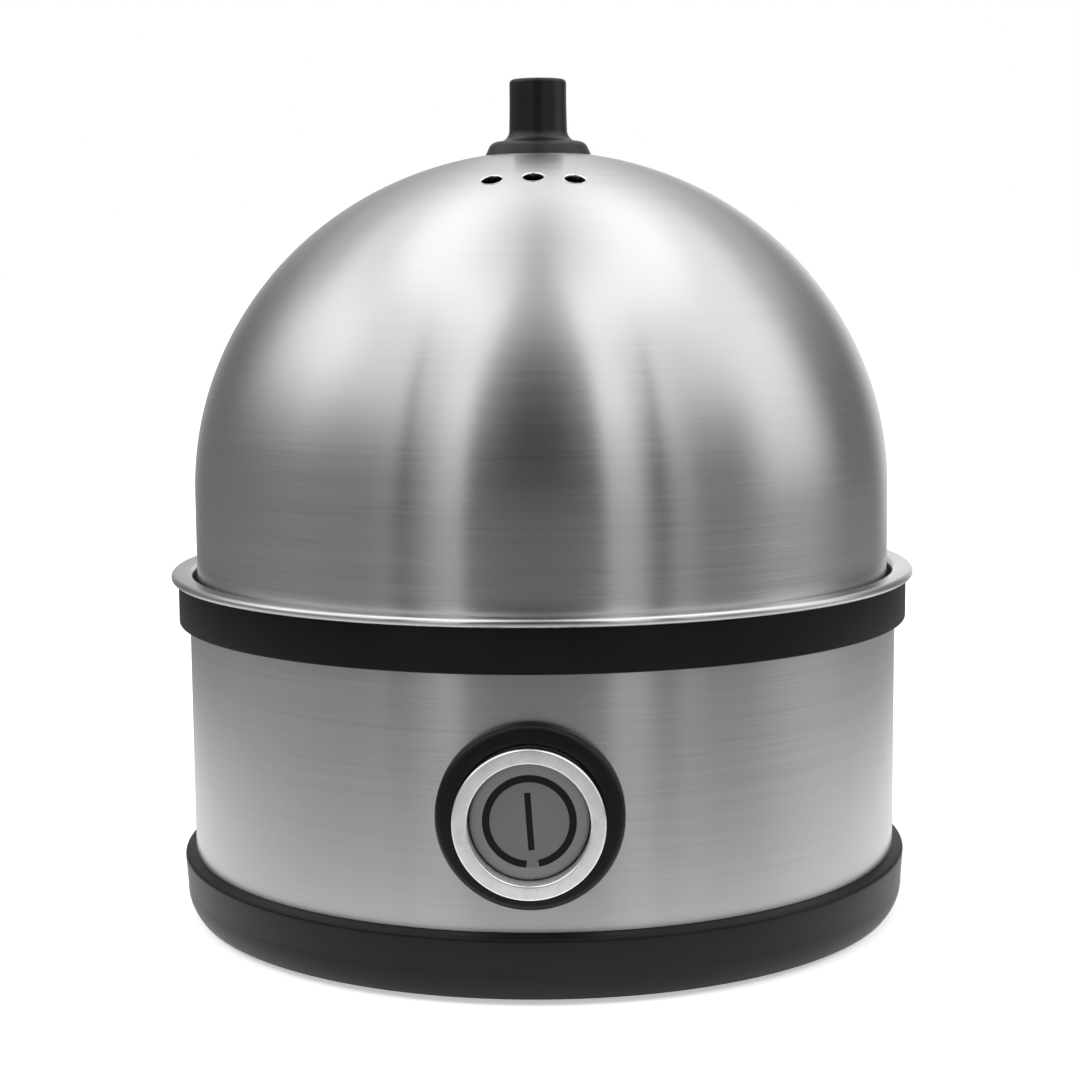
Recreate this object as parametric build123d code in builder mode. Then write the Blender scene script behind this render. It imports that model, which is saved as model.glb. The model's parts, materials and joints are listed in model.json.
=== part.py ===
from build123d import *
import os
from math import cos, radians, sin, sqrt

# Seven-egg boiler: a domed steel lid over a lift-out egg tray and a heated water pan, on a
# steel-banded base with one lit push button.
#
# Millimetres. +Z is up and the push button faces -Y. The origin lies on the object's upright
# axis, in the plane that the rubber feet stand on.

# ---- driving dimensions -------------------------------------------------------------------------

RIM_RADIUS = 92.5            # outer edge of the pan's flange, the widest line of the object
BAND_RADIUS = 88.2           # outside of the steel housing band
LID_RADIUS = 86.15           # outside of the lid's upright wall
FOOT_HEIGHT = 1.5            # what the rubber feet stand proud of the base

BASE_BEND_RISE = 6.5         # heights above the bottom of the base
BASE_LIP_RISE = 13.4
BASE_TOP_RISE = 14.9
COLLAR_BOTTOM_RISE = 72.25
RIM_TOP_RISE = 84.5
LID_SHOULDER_RISE = 104.0
LID_TOP_RISE = 186.7
KNOB_TOP_RISE = 204.2

BUTTON_RISE = 41.0           # centre of the push button
BUTTON_TRAVEL = 3.0
GLAND_RISE = 29.5            # centre of the mains cord's outlet

STEEL = 0.6                  # sheet thickness of lid and band
PAN_SHEET = 0.7
MOULDED_WALL = 2.4
GAP = 0.3                    # between faces of pieces that move apart

# ---- heights and radii that follow --------------------------------------------------------------

BASE_Z = FOOT_HEIGHT
BASE_BEND_Z = BASE_Z + BASE_BEND_RISE
BASE_LIP_Z = BASE_Z + BASE_LIP_RISE
BASE_TOP_Z = BASE_Z + BASE_TOP_RISE
FLOOR_Z = BASE_Z + MOULDED_WALL
COLLAR_Z = BASE_Z + COLLAR_BOTTOM_RISE
RIM_TOP_Z = BASE_Z + RIM_TOP_RISE
RIM_UNDER_Z = RIM_TOP_Z - PAN_SHEET
SHOULDER_Z = BASE_Z + LID_SHOULDER_RISE
LID_TOP_Z = BASE_Z + LID_TOP_RISE
KNOB_TOP_Z = BASE_Z + KNOB_TOP_RISE
BUTTON_Z = BASE_Z + BUTTON_RISE
GLAND_Z = BASE_Z + GLAND_RISE

BAND_INNER = BAND_RADIUS - STEEL
PAN_MOUTH = 87.2             # inside of the pan above its ledge
PAN_BOWL = 81.5              # inside of the pan below its ledge
LEDGE_Z = RIM_TOP_Z - 8.0    # the ledge that carries the tray
PAN_FLOOR_Z = BASE_Z + 61.5  # inside face of the pan's floor
PAN_UNDER_Z = PAN_FLOOR_Z - PAN_SHEET
BOWL_BEND = 6.0

TRAY_SHEET = 1.0
TRAY_Z = LEDGE_Z + 0.2       # underside of the tray's rim
TRAY_PLATE_Z = TRAY_Z - 2.0
TRAY_RADIUS = PAN_MOUTH - 0.5
LID_BOTTOM_Z = TRAY_Z + TRAY_SHEET + 0.2

os.makedirs("parts", exist_ok=True)


def finish(piece, name):
    """Label a finished piece and write it to its own STEP file."""
    piece.part.label = name
    export_step(piece.part, f"parts/{name}.step")


def polar(radius, angle, height=0.0):
    """A point at a radius and an angle in degrees about the upright axis."""
    return (radius * cos(radians(angle)), radius * sin(radians(angle)), height)


def dome_height(radius, inset=0.0):
    """Height of the dome's outside, or of a surface that lies inset within it."""
    across = LID_RADIUS - inset
    rise = LID_TOP_Z - SHOULDER_Z - inset
    return SHOULDER_Z + rise * sqrt(1 - (radius / across) ** 2)


# ---- lid ----------------------------------------------------------------------------------------

HEM_RADIUS = 0.75
VENT_RADIUS = 2.5
VENT_ROW = 36.0              # how far in front of the axis the row of vents lies
VENT_PITCH = 9.65
KNOB_BORE_RADIUS = 2.2

with BuildPart() as lid_dome:
    with BuildSketch(Plane.XZ):
        with BuildLine():
            Line((LID_RADIUS, LID_BOTTOM_Z + HEM_RADIUS), (LID_RADIUS, SHOULDER_Z))
            EllipticalCenterArc((0, SHOULDER_Z), LID_RADIUS, LID_TOP_Z - SHOULDER_Z, arc_size=90)
            Line((0, LID_TOP_Z), (0, LID_TOP_Z - STEEL))
            EllipticalCenterArc(
                (0, SHOULDER_Z), LID_RADIUS - STEEL, LID_TOP_Z - SHOULDER_Z - STEEL, arc_size=90
            )
            Line((LID_RADIUS - STEEL, SHOULDER_Z), (LID_RADIUS - STEEL, LID_BOTTOM_Z + HEM_RADIUS))
            Line((LID_RADIUS - STEEL, LID_BOTTOM_Z + HEM_RADIUS), (LID_RADIUS, LID_BOTTOM_Z + HEM_RADIUS))
        make_face()
        with Locations((LID_RADIUS - HEM_RADIUS, LID_BOTTOM_Z + HEM_RADIUS)):
            Circle(HEM_RADIUS)
    revolve(axis=Axis.Z)
    with Locations((0, 0, LID_TOP_Z)):
        Cylinder(KNOB_BORE_RADIUS, 4, mode=Mode.SUBTRACT)
    flatness = ((LID_TOP_Z - SHOULDER_Z) / LID_RADIUS) ** 2
    for x in (-VENT_PITCH, 0, VENT_PITCH):
        height = dome_height(sqrt(x**2 + VENT_ROW**2))
        outward = (flatness * x, -flatness * VENT_ROW, height - SHOULDER_Z)
        with Locations(Plane(origin=(x, -VENT_ROW, height), z_dir=outward)):
            Cylinder(VENT_RADIUS, 4, mode=Mode.SUBTRACT)
finish(lid_dome, "lid_dome")

KNOB_RADIUS = 7.0
KNOB_NECK_RADIUS = 7.2
KNOB_EDGE = 1.0
KNOB_FLARE = 2.7
KNOB_FOOT_RADIUS = 13.05
KNOB_SHOULDER_RADIUS = 11.55  # of the foot's upper corner before it is rounded
KNOB_ROUND = 2.3
KNOB_FLARE_Z = BASE_Z + 189.1
HALF_TURNED = cos(radians(45))
KNOB_SEAT = 0.05             # clearance over the dome
INSERT_RADIUS = 3.5
INSERT_LENGTH = 10.0

with BuildPart() as lid_knob:
    with BuildSketch(Plane.XZ):
        with BuildLine():
            Line((0, KNOB_TOP_Z), (KNOB_RADIUS - KNOB_EDGE, KNOB_TOP_Z))
            RadiusArc(
                (KNOB_RADIUS - KNOB_EDGE, KNOB_TOP_Z), (KNOB_RADIUS, KNOB_TOP_Z - KNOB_EDGE), KNOB_EDGE
            )
            Polyline(
                (KNOB_RADIUS, KNOB_TOP_Z - KNOB_EDGE),
                (KNOB_RADIUS, KNOB_TOP_Z - 6),
                (KNOB_NECK_RADIUS, KNOB_FLARE_Z + KNOB_FLARE),
            )
            ThreePointArc(
                (KNOB_NECK_RADIUS, KNOB_FLARE_Z + KNOB_FLARE),
                (
                    KNOB_NECK_RADIUS + KNOB_FLARE * (1 - HALF_TURNED),
                    KNOB_FLARE_Z + KNOB_FLARE * (1 - HALF_TURNED),
                ),
                (KNOB_NECK_RADIUS + KNOB_FLARE, KNOB_FLARE_Z),
            )
            FilletPolyline(
                (KNOB_NECK_RADIUS + KNOB_FLARE, KNOB_FLARE_Z),
                (KNOB_SHOULDER_RADIUS, KNOB_FLARE_Z),
                (KNOB_FOOT_RADIUS, dome_height(KNOB_FOOT_RADIUS) + KNOB_SEAT),
                radius=KNOB_ROUND,
            )
            ThreePointArc(
                (KNOB_FOOT_RADIUS, dome_height(KNOB_FOOT_RADIUS) + KNOB_SEAT),
                (KNOB_FOOT_RADIUS / 2, dome_height(KNOB_FOOT_RADIUS / 2) + KNOB_SEAT),
                (0, LID_TOP_Z + KNOB_SEAT),
            )
            Line((0, LID_TOP_Z + KNOB_SEAT), (0, KNOB_TOP_Z))
        make_face()
    revolve(axis=Axis.Z)
    with Locations((0, 0, LID_TOP_Z)):
        Cylinder(
            INSERT_RADIUS,
            INSERT_LENGTH + 1,
            align=(Align.CENTER, Align.CENTER, Align.MIN),
            mode=Mode.SUBTRACT,
        )
finish(lid_knob, "lid_knob")

SCREW_RADIUS = 2.0           # M4

with BuildPart() as knob_insert:
    with BuildSketch(Plane.XY.offset(LID_TOP_Z + 0.5)):
        Circle(INSERT_RADIUS)
        Circle(SCREW_RADIUS, mode=Mode.SUBTRACT)
    extrude(amount=INSERT_LENGTH)
finish(knob_insert, "knob_insert")

WASHER_TOP_Z = LID_TOP_Z - STEEL - 0.25

with BuildPart() as knob_washer:
    with BuildSketch(Plane.XY.offset(WASHER_TOP_Z - 0.9)):
        Circle(5.5)
        Circle(KNOB_BORE_RADIUS, mode=Mode.SUBTRACT)
    extrude(amount=0.9)
finish(knob_washer, "knob_washer")

with BuildPart() as knob_screw:
    with BuildSketch(Plane.XY.offset(WASHER_TOP_Z - 0.9)):
        Circle(SCREW_RADIUS)
    extrude(amount=9)
    with BuildSketch(Plane.XY.offset(WASHER_TOP_Z - 0.9)):
        Circle(3.9)
    extrude(amount=-2.4)
    fillet(knob_screw.edges().group_by(Axis.Z)[0], 1.2)
    with BuildSketch(Plane.XY.offset(WASHER_TOP_Z - 3.3)):
        Rectangle(4.4, 0.9)
        Rectangle(0.9, 4.4)
    extrude(amount=1.4, mode=Mode.SUBTRACT)
finish(knob_screw, "knob_screw")

# ---- egg tray -----------------------------------------------------------------------------------

SEATS = 7
SEAT_RING = 55.0
SEAT_HOLE = 16.5             # radius at the seat's mouth
SEAT_THROAT = 15.0           # radius at the foot of the seat's lip
SEAT_DEPTH = 3.2
DRAIN_RADIUS = 2.2

with BuildPart() as egg_tray:
    with BuildSketch(Plane.XZ):
        Polygon(
            (0, TRAY_PLATE_Z),
            (PAN_BOWL - 1.2, TRAY_PLATE_Z),
            (PAN_BOWL - 0.8, TRAY_Z),
            (TRAY_RADIUS, TRAY_Z),
            (TRAY_RADIUS, TRAY_Z + TRAY_SHEET),
            (PAN_BOWL - 1.8, TRAY_Z + TRAY_SHEET),
            (PAN_BOWL - 2.2, TRAY_PLATE_Z + TRAY_SHEET),
            (0, TRAY_PLATE_Z + TRAY_SHEET),
            align=None,
        )
    revolve(axis=Axis.Z)
    with PolarLocations(SEAT_RING, SEATS):
        with Locations((0, 0, TRAY_PLATE_Z - SEAT_DEPTH)):
            Cone(
                SEAT_THROAT + TRAY_SHEET,
                SEAT_HOLE + TRAY_SHEET,
                SEAT_DEPTH,
                align=(Align.CENTER, Align.CENTER, Align.MIN),
            )
    with PolarLocations(SEAT_RING, SEATS):
        with Locations((0, 0, TRAY_PLATE_Z - SEAT_DEPTH)):
            Cone(
                SEAT_THROAT,
                SEAT_HOLE + 0.5,
                SEAT_DEPTH + TRAY_SHEET,
                align=(Align.CENTER, Align.CENTER, Align.MIN),
                mode=Mode.SUBTRACT,
            )
    with BuildSketch(Plane.XY.offset(TRAY_PLATE_Z - 1)):
        with PolarLocations(75.5, SEATS, start_angle=180 / SEATS):
            Circle(DRAIN_RADIUS)
        with PolarLocations(31.0, SEATS, start_angle=180 / SEATS):
            Circle(DRAIN_RADIUS)
        Circle(SCREW_RADIUS + 0.2)
    extrude(amount=3, mode=Mode.SUBTRACT)
finish(egg_tray, "egg_tray")

HANDLE_Z = TRAY_PLATE_Z + TRAY_SHEET
HANDLE_TOP_Z = HANDLE_Z + 62.0

with BuildPart() as tray_handle:
    with BuildSketch(Plane.XZ):
        with BuildLine():
            Polyline(
                (0, HANDLE_TOP_Z),
                (11.0, HANDLE_TOP_Z),
                (13.0, HANDLE_TOP_Z - 2),
                (13.0, HANDLE_TOP_Z - 6),
                (11.0, HANDLE_TOP_Z - 8),
                (6.5, HANDLE_TOP_Z - 11),
                (5.0, HANDLE_TOP_Z - 18),
                (5.0, HANDLE_Z + 14),
            )
            ThreePointArc((5.0, HANDLE_Z + 14), (7.0, HANDLE_Z + 5.5), (12.5, HANDLE_Z + 2))
            Polyline((12.5, HANDLE_Z + 2), (12.5, HANDLE_Z), (0, HANDLE_Z), (0, HANDLE_TOP_Z))
        make_face()
    revolve(axis=Axis.Z)
    with Locations((0, 0, HANDLE_Z)):
        Cylinder(
            SCREW_RADIUS, 14, align=(Align.CENTER, Align.CENTER, Align.MIN), mode=Mode.SUBTRACT
        )
finish(tray_handle, "tray_handle")

with BuildPart() as tray_handle_washer:
    with BuildSketch(Plane.XY.offset(TRAY_PLATE_Z)):
        Circle(5.5)
        Circle(SCREW_RADIUS + 0.1, mode=Mode.SUBTRACT)
    extrude(amount=-0.8)
finish(tray_handle_washer, "tray_handle_washer")

with BuildPart() as tray_handle_screw:
    with BuildSketch(Plane.XY.offset(TRAY_PLATE_Z - 0.8)):
        Circle(SCREW_RADIUS)
    extrude(amount=13)
    with BuildSketch(Plane.XY.offset(TRAY_PLATE_Z - 0.8)):
        Circle(3.9)
    extrude(amount=-2.4)
    fillet(tray_handle_screw.edges().group_by(Axis.Z)[0], 1.2)
finish(tray_handle_screw, "tray_handle_screw")

# ---- water pan and collar -----------------------------------------------------------------------

FLANGE_BEND = 1.5            # roll from the flange down into the mouth
RIM_BEAD = 1.0               # radius of the bead rolled at the flange's edge

with BuildPart() as heating_pan:
    with BuildSketch(Plane.XZ):
        with BuildLine():
            Polyline(
                (0, PAN_UNDER_Z),
                (PAN_BOWL + PAN_SHEET - BOWL_BEND, PAN_UNDER_Z),
            )
            RadiusArc(
                (PAN_BOWL + PAN_SHEET - BOWL_BEND, PAN_UNDER_Z),
                (PAN_BOWL + PAN_SHEET, PAN_UNDER_Z + BOWL_BEND),
                -BOWL_BEND,
            )
            Polyline(
                (PAN_BOWL + PAN_SHEET, PAN_UNDER_Z + BOWL_BEND),
                (PAN_BOWL + PAN_SHEET, LEDGE_Z - PAN_SHEET),
                (PAN_MOUTH + PAN_SHEET, LEDGE_Z - PAN_SHEET),
                (PAN_MOUTH + PAN_SHEET, RIM_UNDER_Z),
                (RIM_RADIUS - RIM_BEAD, RIM_UNDER_Z),
                (RIM_RADIUS - RIM_BEAD, RIM_TOP_Z),
                (PAN_MOUTH + FLANGE_BEND, RIM_TOP_Z),
            )
            RadiusArc(
                (PAN_MOUTH + FLANGE_BEND, RIM_TOP_Z),
                (PAN_MOUTH, RIM_TOP_Z - FLANGE_BEND),
                -FLANGE_BEND,
            )
            Polyline(
                (PAN_MOUTH, RIM_TOP_Z - FLANGE_BEND),
                (PAN_MOUTH, LEDGE_Z),
                (PAN_BOWL, LEDGE_Z),
                (PAN_BOWL, PAN_UNDER_Z + BOWL_BEND),
            )
            RadiusArc(
                (PAN_BOWL, PAN_UNDER_Z + BOWL_BEND),
                (PAN_BOWL + PAN_SHEET - BOWL_BEND, PAN_FLOOR_Z),
                BOWL_BEND - PAN_SHEET,
            )
            Polyline((PAN_BOWL + PAN_SHEET - BOWL_BEND, PAN_FLOOR_Z), (0, PAN_FLOOR_Z), (0, PAN_UNDER_Z))
        make_face()
        with Locations((RIM_RADIUS - RIM_BEAD, RIM_TOP_Z - RIM_BEAD)):
            Circle(RIM_BEAD)
    revolve(axis=Axis.Z)
finish(heating_pan, "heating_pan")

COLLAR_RADIUS = 90.8
COLLAR_TOP_Z = RIM_UNDER_Z - 1.1
BAND_TOP_Z = COLLAR_Z + 1.9

with BuildPart() as collar_ring:
    with BuildSketch(Plane.XZ):
        Polygon(
            (BAND_RADIUS + 0.1, COLLAR_Z),
            (COLLAR_RADIUS - 0.4, COLLAR_Z),
            (COLLAR_RADIUS, COLLAR_Z + 0.4),
            (COLLAR_RADIUS, COLLAR_TOP_Z),
            (PAN_MOUTH + PAN_SHEET + 0.1, COLLAR_TOP_Z),
            (PAN_MOUTH + PAN_SHEET + 0.1, BAND_TOP_Z + 0.1),
            (BAND_RADIUS + 0.1, BAND_TOP_Z + 0.1),
            align=None,
        )
    revolve(axis=Axis.Z)
finish(collar_ring, "collar_ring")

with BuildPart() as pan_gasket:
    with BuildSketch(Plane.XY.offset(COLLAR_TOP_Z)):
        Circle(COLLAR_RADIUS - 0.4)
        Circle(PAN_MOUTH + PAN_SHEET + 0.3, mode=Mode.SUBTRACT)
    extrude(amount=RIM_UNDER_Z - COLLAR_TOP_Z)
finish(pan_gasket, "pan_gasket")

# ---- button frame of reference ------------------------------------------------------------------
# The button's parts turn about a level axis that points out at -Y. Their outlines are drawn as
# (radius, reach), where reach is the distance in front of the upright axis.

BUTTON_SECTION = Plane(origin=(0, 0, BUTTON_Z), x_dir=(1, 0, 0), z_dir=(0, 0, -1))
BUTTON_AXIS = Axis((0, 0, BUTTON_Z), (0, -1, 0))
GLAND_SECTION = Plane(origin=(0, 0, GLAND_Z), x_dir=(1, 0, 0), z_dir=(0, 0, 1))
GLAND_AXIS = Axis((0, 0, GLAND_Z), (0, 1, 0))

BEZEL_NECK = 17.6            # radius of the neck that passes through the band
BEZEL_RADIUS = 20.6
BEZEL_FACE = BAND_RADIUS + 2.6
NECK_BACK = 72.0             # reach of the neck's inner end
RING_RADIUS = 16.5
RING_INNER = 13.2
RING_EDGE = 0.55             # rounding of the two edges of the ring's flat front
RING_WALL = 16.2             # radius of the ring behind its front
RING_FRONT = BAND_RADIUS + 8.6
RING_STEP = RING_FRONT - 2.2  # reach from which the ring has its full radius
CAP_RADIUS = 12.95
CAP_FACE = RING_FRONT - 3.6
GLAND_HEX = 5.8              # corner radius of the six-sided neck that keeps the gland from turning
GLAND_NECK = 4.8
GLAND_BORE = 3.6             # throat that guides the cord
GLAND_ROOM = 4.0             # wider way through the neck behind the throat

# ---- housing band and base ----------------------------------------------------------------------

with BuildPart() as housing_band:
    with BuildSketch(Plane.XY.offset(BASE_TOP_Z + 0.1)):
        Circle(BAND_RADIUS)
        Circle(BAND_INNER, mode=Mode.SUBTRACT)
    extrude(amount=BAND_TOP_Z - BASE_TOP_Z - 0.1)
    with BuildSketch(Plane.XZ.offset(BAND_RADIUS - 20)):
        with Locations((0, BUTTON_Z)):
            Circle(BEZEL_NECK + 0.2)
    extrude(amount=40, mode=Mode.SUBTRACT)
    with BuildSketch(Plane.XZ.offset(20 - BAND_RADIUS)):
        with Locations((0, GLAND_Z)):
            RegularPolygon(GLAND_HEX + 0.2, 6)
    extrude(amount=-40, mode=Mode.SUBTRACT)
finish(housing_band, "housing_band")

BASE_FOOT_RADIUS = 88.3
BASE_BEND_RADIUS = 90.4
BASE_LIP_RADIUS = 90.9
SPIGOT_RADIUS = BAND_INNER - 0.1
SPIGOT_TOP_Z = BASE_TOP_Z + 7.5
SPIGOT_INNER = SPIGOT_RADIUS - 2.2

POST_PLACES = [(60.6, 35.0), (-60.6, 35.0), (-60.6, -35.0), (60.6, -35.0)]
POST_RADIUS = 5.2
POST_TOP_Z = 50.0
POST_SHELF_Z = 38.0          # the screw's head bears here, inside the post
POST_WELL_RADIUS = 3.9
BASE_SCREW_RADIUS = 1.5

FOOT_RING = 72.0
FOOT_RADIUS = 7.0
FOOT_STEM = 2.1
FOOT_ANGLES = [45, 135, 225, 315]

SLOT_LENGTH = 22.0
SLOT_WIDTH = 3.0

with BuildPart() as base_shell:
    with BuildSketch(Plane.XZ):
        with BuildLine():
            Line((0, BASE_Z), (BASE_FOOT_RADIUS, BASE_Z))
            ThreePointArc(
                (BASE_FOOT_RADIUS, BASE_Z),
                (BASE_BEND_RADIUS - 0.6, BASE_BEND_Z - 4.0),
                (BASE_BEND_RADIUS, BASE_BEND_Z),
            )
            Line((BASE_BEND_RADIUS, BASE_BEND_Z), (BASE_LIP_RADIUS, BASE_LIP_Z))
            ThreePointArc(
                (BASE_LIP_RADIUS, BASE_LIP_Z),
                (BASE_LIP_RADIUS - 0.2, BASE_LIP_Z + 0.7),
                (BASE_LIP_RADIUS - 0.75, BASE_LIP_Z + 1.1),
            )
            Polyline(
                (BASE_LIP_RADIUS - 0.75, BASE_LIP_Z + 1.1),
                (BAND_RADIUS, BASE_TOP_Z),
                (SPIGOT_RADIUS, BASE_TOP_Z),
                (SPIGOT_RADIUS, SPIGOT_TOP_Z),
                (SPIGOT_INNER, SPIGOT_TOP_Z),
                (SPIGOT_INNER, BASE_TOP_Z - 2.2),
                (BASE_BEND_RADIUS - MOULDED_WALL, BASE_TOP_Z - 4),
                (BASE_BEND_RADIUS - MOULDED_WALL - 0.3, BASE_BEND_Z),
                (BASE_FOOT_RADIUS - 1.7, FLOOR_Z),
                (0, FLOOR_Z),
                (0, BASE_Z),
            )
        make_face()
    revolve(axis=Axis.Z)
    with BuildSketch(Plane.XY.offset(FLOOR_Z - 0.5)):
        with Locations(*POST_PLACES):
            Circle(POST_RADIUS)
    extrude(amount=POST_TOP_Z - FLOOR_Z + 0.5)
    with BuildSketch(Plane.XY.offset(BASE_Z - 1)):
        with Locations(*POST_PLACES):
            Circle(POST_WELL_RADIUS)
    extrude(amount=POST_SHELF_Z - BASE_Z + 1, mode=Mode.SUBTRACT)
    with BuildSketch(Plane.XY.offset(BASE_Z - 1)):
        with Locations(*POST_PLACES):
            Circle(BASE_SCREW_RADIUS + 0.2)
    extrude(amount=POST_TOP_Z + 2, mode=Mode.SUBTRACT)
    with BuildSketch(Plane.XY.offset(BASE_Z - 1)):
        with PolarLocations(FOOT_RING, len(FOOT_ANGLES), start_angle=FOOT_ANGLES[0]):
            Circle(FOOT_STEM + 0.1)
        with PolarLocations(30.0, 12):
            SlotOverall(SLOT_LENGTH, SLOT_WIDTH)
    extrude(amount=MOULDED_WALL + 2, mode=Mode.SUBTRACT)
finish(base_shell, "base_shell")

with BuildPart() as rubber_feet:
    with BuildSketch(Plane.XY):
        with PolarLocations(FOOT_RING, len(FOOT_ANGLES), start_angle=FOOT_ANGLES[0]):
            Circle(FOOT_RADIUS)
    extrude(amount=FOOT_HEIGHT, taper=8)
    with BuildSketch(Plane.XY.offset(FOOT_HEIGHT / 2)):
        with PolarLocations(FOOT_RING, len(FOOT_ANGLES), start_angle=FOOT_ANGLES[0]):
            Circle(FOOT_STEM)
    extrude(amount=FLOOR_Z + 0.1 - FOOT_HEIGHT / 2)
    with PolarLocations(FOOT_RING, len(FOOT_ANGLES), start_angle=FOOT_ANGLES[0]):
        with Locations((0, 0, FLOOR_Z + 0.1)):
            Cone(3.1, 1.4, 3.0, align=(Align.CENTER, Align.CENTER, Align.MIN))
finish(rubber_feet, "rubber_feet")

with BuildPart() as base_screws:
    with BuildSketch(Plane.XY.offset(POST_SHELF_Z)):
        with Locations(*POST_PLACES):
            Circle(POST_WELL_RADIUS - 0.6)
    extrude(amount=-2.6)
    with BuildSketch(Plane.XY.offset(POST_SHELF_Z - 0.1)):
        with Locations(*POST_PLACES):
            Circle(BASE_SCREW_RADIUS)
    extrude(amount=17.6)
finish(base_screws, "base_screws")

BRACKET_SHEET = 1.4
BRACKET_WIDTH = 12.0
BRACKET_REACH = 75.4         # outer face of the bracket's upright
BRACKET_INNER = 64.5

with BuildPart() as pan_brackets:
    for x, y in POST_PLACES:
        outward = Vector(x, y, 0).normalized()
        across = outward.cross(Vector(0, 0, 1))
        with BuildSketch(Plane(origin=across * (-BRACKET_WIDTH / 2), x_dir=outward, z_dir=across)):
            Polygon(
                (BRACKET_INNER, POST_TOP_Z),
                (BRACKET_REACH, POST_TOP_Z),
                (BRACKET_REACH, PAN_UNDER_Z),
                (BRACKET_INNER, PAN_UNDER_Z),
                (BRACKET_INNER, PAN_UNDER_Z - BRACKET_SHEET),
                (BRACKET_REACH - BRACKET_SHEET, PAN_UNDER_Z - BRACKET_SHEET),
                (BRACKET_REACH - BRACKET_SHEET, POST_TOP_Z + BRACKET_SHEET),
                (BRACKET_INNER, POST_TOP_Z + BRACKET_SHEET),
                align=None,
            )
        extrude(amount=BRACKET_WIDTH)
    with BuildSketch(Plane.XY.offset(POST_TOP_Z - 1)):
        with Locations(*POST_PLACES):
            Circle(BASE_SCREW_RADIUS)
    extrude(amount=BRACKET_SHEET + 2, mode=Mode.SUBTRACT)
finish(pan_brackets, "pan_brackets")

# ---- heater -------------------------------------------------------------------------------------

PLATE_RADIUS = 58.0
PLATE_THICKNESS = 3.2
PLATE_Z = PAN_UNDER_Z - PLATE_THICKNESS
ELEMENT_RING = 42.0
ELEMENT_RADIUS = 3.2
ELEMENT_Z = PLATE_Z - ELEMENT_RADIUS - 0.05
ELEMENT_BEND = 8.0
ELEMENT_GAP = 50.0           # degrees left open in the element's ring, at the back
COLD_END_Z = ELEMENT_Z - 16.0
CLIP_SCREW_PLACES = [(0, 12.5), (0, -12.5)]

with BuildPart() as heat_plate:
    with BuildSketch(Plane.XY.offset(PLATE_Z)):
        Circle(PLATE_RADIUS)
    extrude(amount=PLATE_THICKNESS)
    fillet(heat_plate.edges().group_by(Axis.Z)[0], 0.8)
    with BuildSketch(Plane.XY.offset(PLATE_Z)):
        with Locations(*CLIP_SCREW_PLACES):
            Circle(BASE_SCREW_RADIUS)
    extrude(amount=2.4, mode=Mode.SUBTRACT)
finish(heat_plate, "heat_plate")


with BuildPart() as heating_element:
    with BuildLine() as element_path:
        cold_ends = []
        for side in (1, -1):
            angle = 90 - side * ELEMENT_GAP / 2
            heading = Vector(*polar(side, angle + 90))
            drop = Vector(0, 0, -ELEMENT_BEND)
            ring_end = Vector(*polar(ELEMENT_RING, angle, ELEMENT_Z))
            bend_end = ring_end + heading * ELEMENT_BEND + drop
            bend_middle = (
                ring_end
                + heading * ELEMENT_BEND * sin(radians(45))
                + drop * (1 - cos(radians(45)))
            )
            cold_end = Vector(bend_end.X, bend_end.Y, COLD_END_Z)
            ThreePointArc(ring_end, bend_middle, bend_end)
            Line(bend_end, cold_end)
            cold_ends.append(cold_end)
        ThreePointArc(
            polar(ELEMENT_RING, 90 - ELEMENT_GAP / 2, ELEMENT_Z),
            polar(ELEMENT_RING, 270, ELEMENT_Z),
            polar(ELEMENT_RING, 90 + ELEMENT_GAP / 2, ELEMENT_Z),
        )
    with BuildSketch(Plane(origin=cold_ends[0], z_dir=(0, 0, 1))):
        Circle(ELEMENT_RADIUS)
    sweep(path=element_path.wire())
finish(heating_element, "heating_element")

SEAL_LENGTH = 7.0

with BuildPart() as element_seals:
    for cold_end in cold_ends:
        with BuildSketch(Plane(origin=cold_end, z_dir=(0, 0, -1))):
            Circle(ELEMENT_RADIUS + 0.9)
        extrude(amount=1.5)
        with BuildSketch(Plane(origin=cold_end, z_dir=(0, 0, 1))):
            Circle(ELEMENT_RADIUS + 0.9)
            Circle(ELEMENT_RADIUS + 0.02, mode=Mode.SUBTRACT)
        extrude(amount=SEAL_LENGTH)
finish(element_seals, "element_seals")

CAP_DEPTH = 4.2
THERMOSTAT_DEPTH = 11.2

with BuildPart() as thermostat_cap:
    with BuildSketch(Plane.XY.offset(PLATE_Z - 0.05)):
        Circle(8.0)
    extrude(amount=-CAP_DEPTH)
    with BuildSketch(Plane.XY.offset(PLATE_Z - CAP_DEPTH)):
        Circle(9.5)
    extrude(amount=0.7)
finish(thermostat_cap, "thermostat_cap")

with BuildPart() as thermostat_body:
    with BuildSketch(Plane.XY.offset(PLATE_Z - CAP_DEPTH - 0.05)):
        Circle(7.6)
    extrude(amount=CAP_DEPTH + 0.05 - THERMOSTAT_DEPTH)
    with BuildSketch(Plane.XY.offset(PLATE_Z - THERMOSTAT_DEPTH)):
        Rectangle(2.0, 14.0)
    extrude(amount=-4)
finish(thermostat_body, "thermostat_body")

CLIP_SHEET = 0.8
CLIP_Z = PLATE_Z - CAP_DEPTH - CLIP_SHEET

with BuildPart() as thermostat_clip:
    with BuildSketch(Plane.XY.offset(CLIP_Z)):
        SlotOverall(34, 12, rotation=90)
        Circle(9.9)
        Circle(7.9, mode=Mode.SUBTRACT)
        with Locations(*CLIP_SCREW_PLACES):
            Circle(BASE_SCREW_RADIUS + 0.1, mode=Mode.SUBTRACT)
    extrude(amount=CLIP_SHEET - 0.05)
finish(thermostat_clip, "thermostat_clip")

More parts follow.
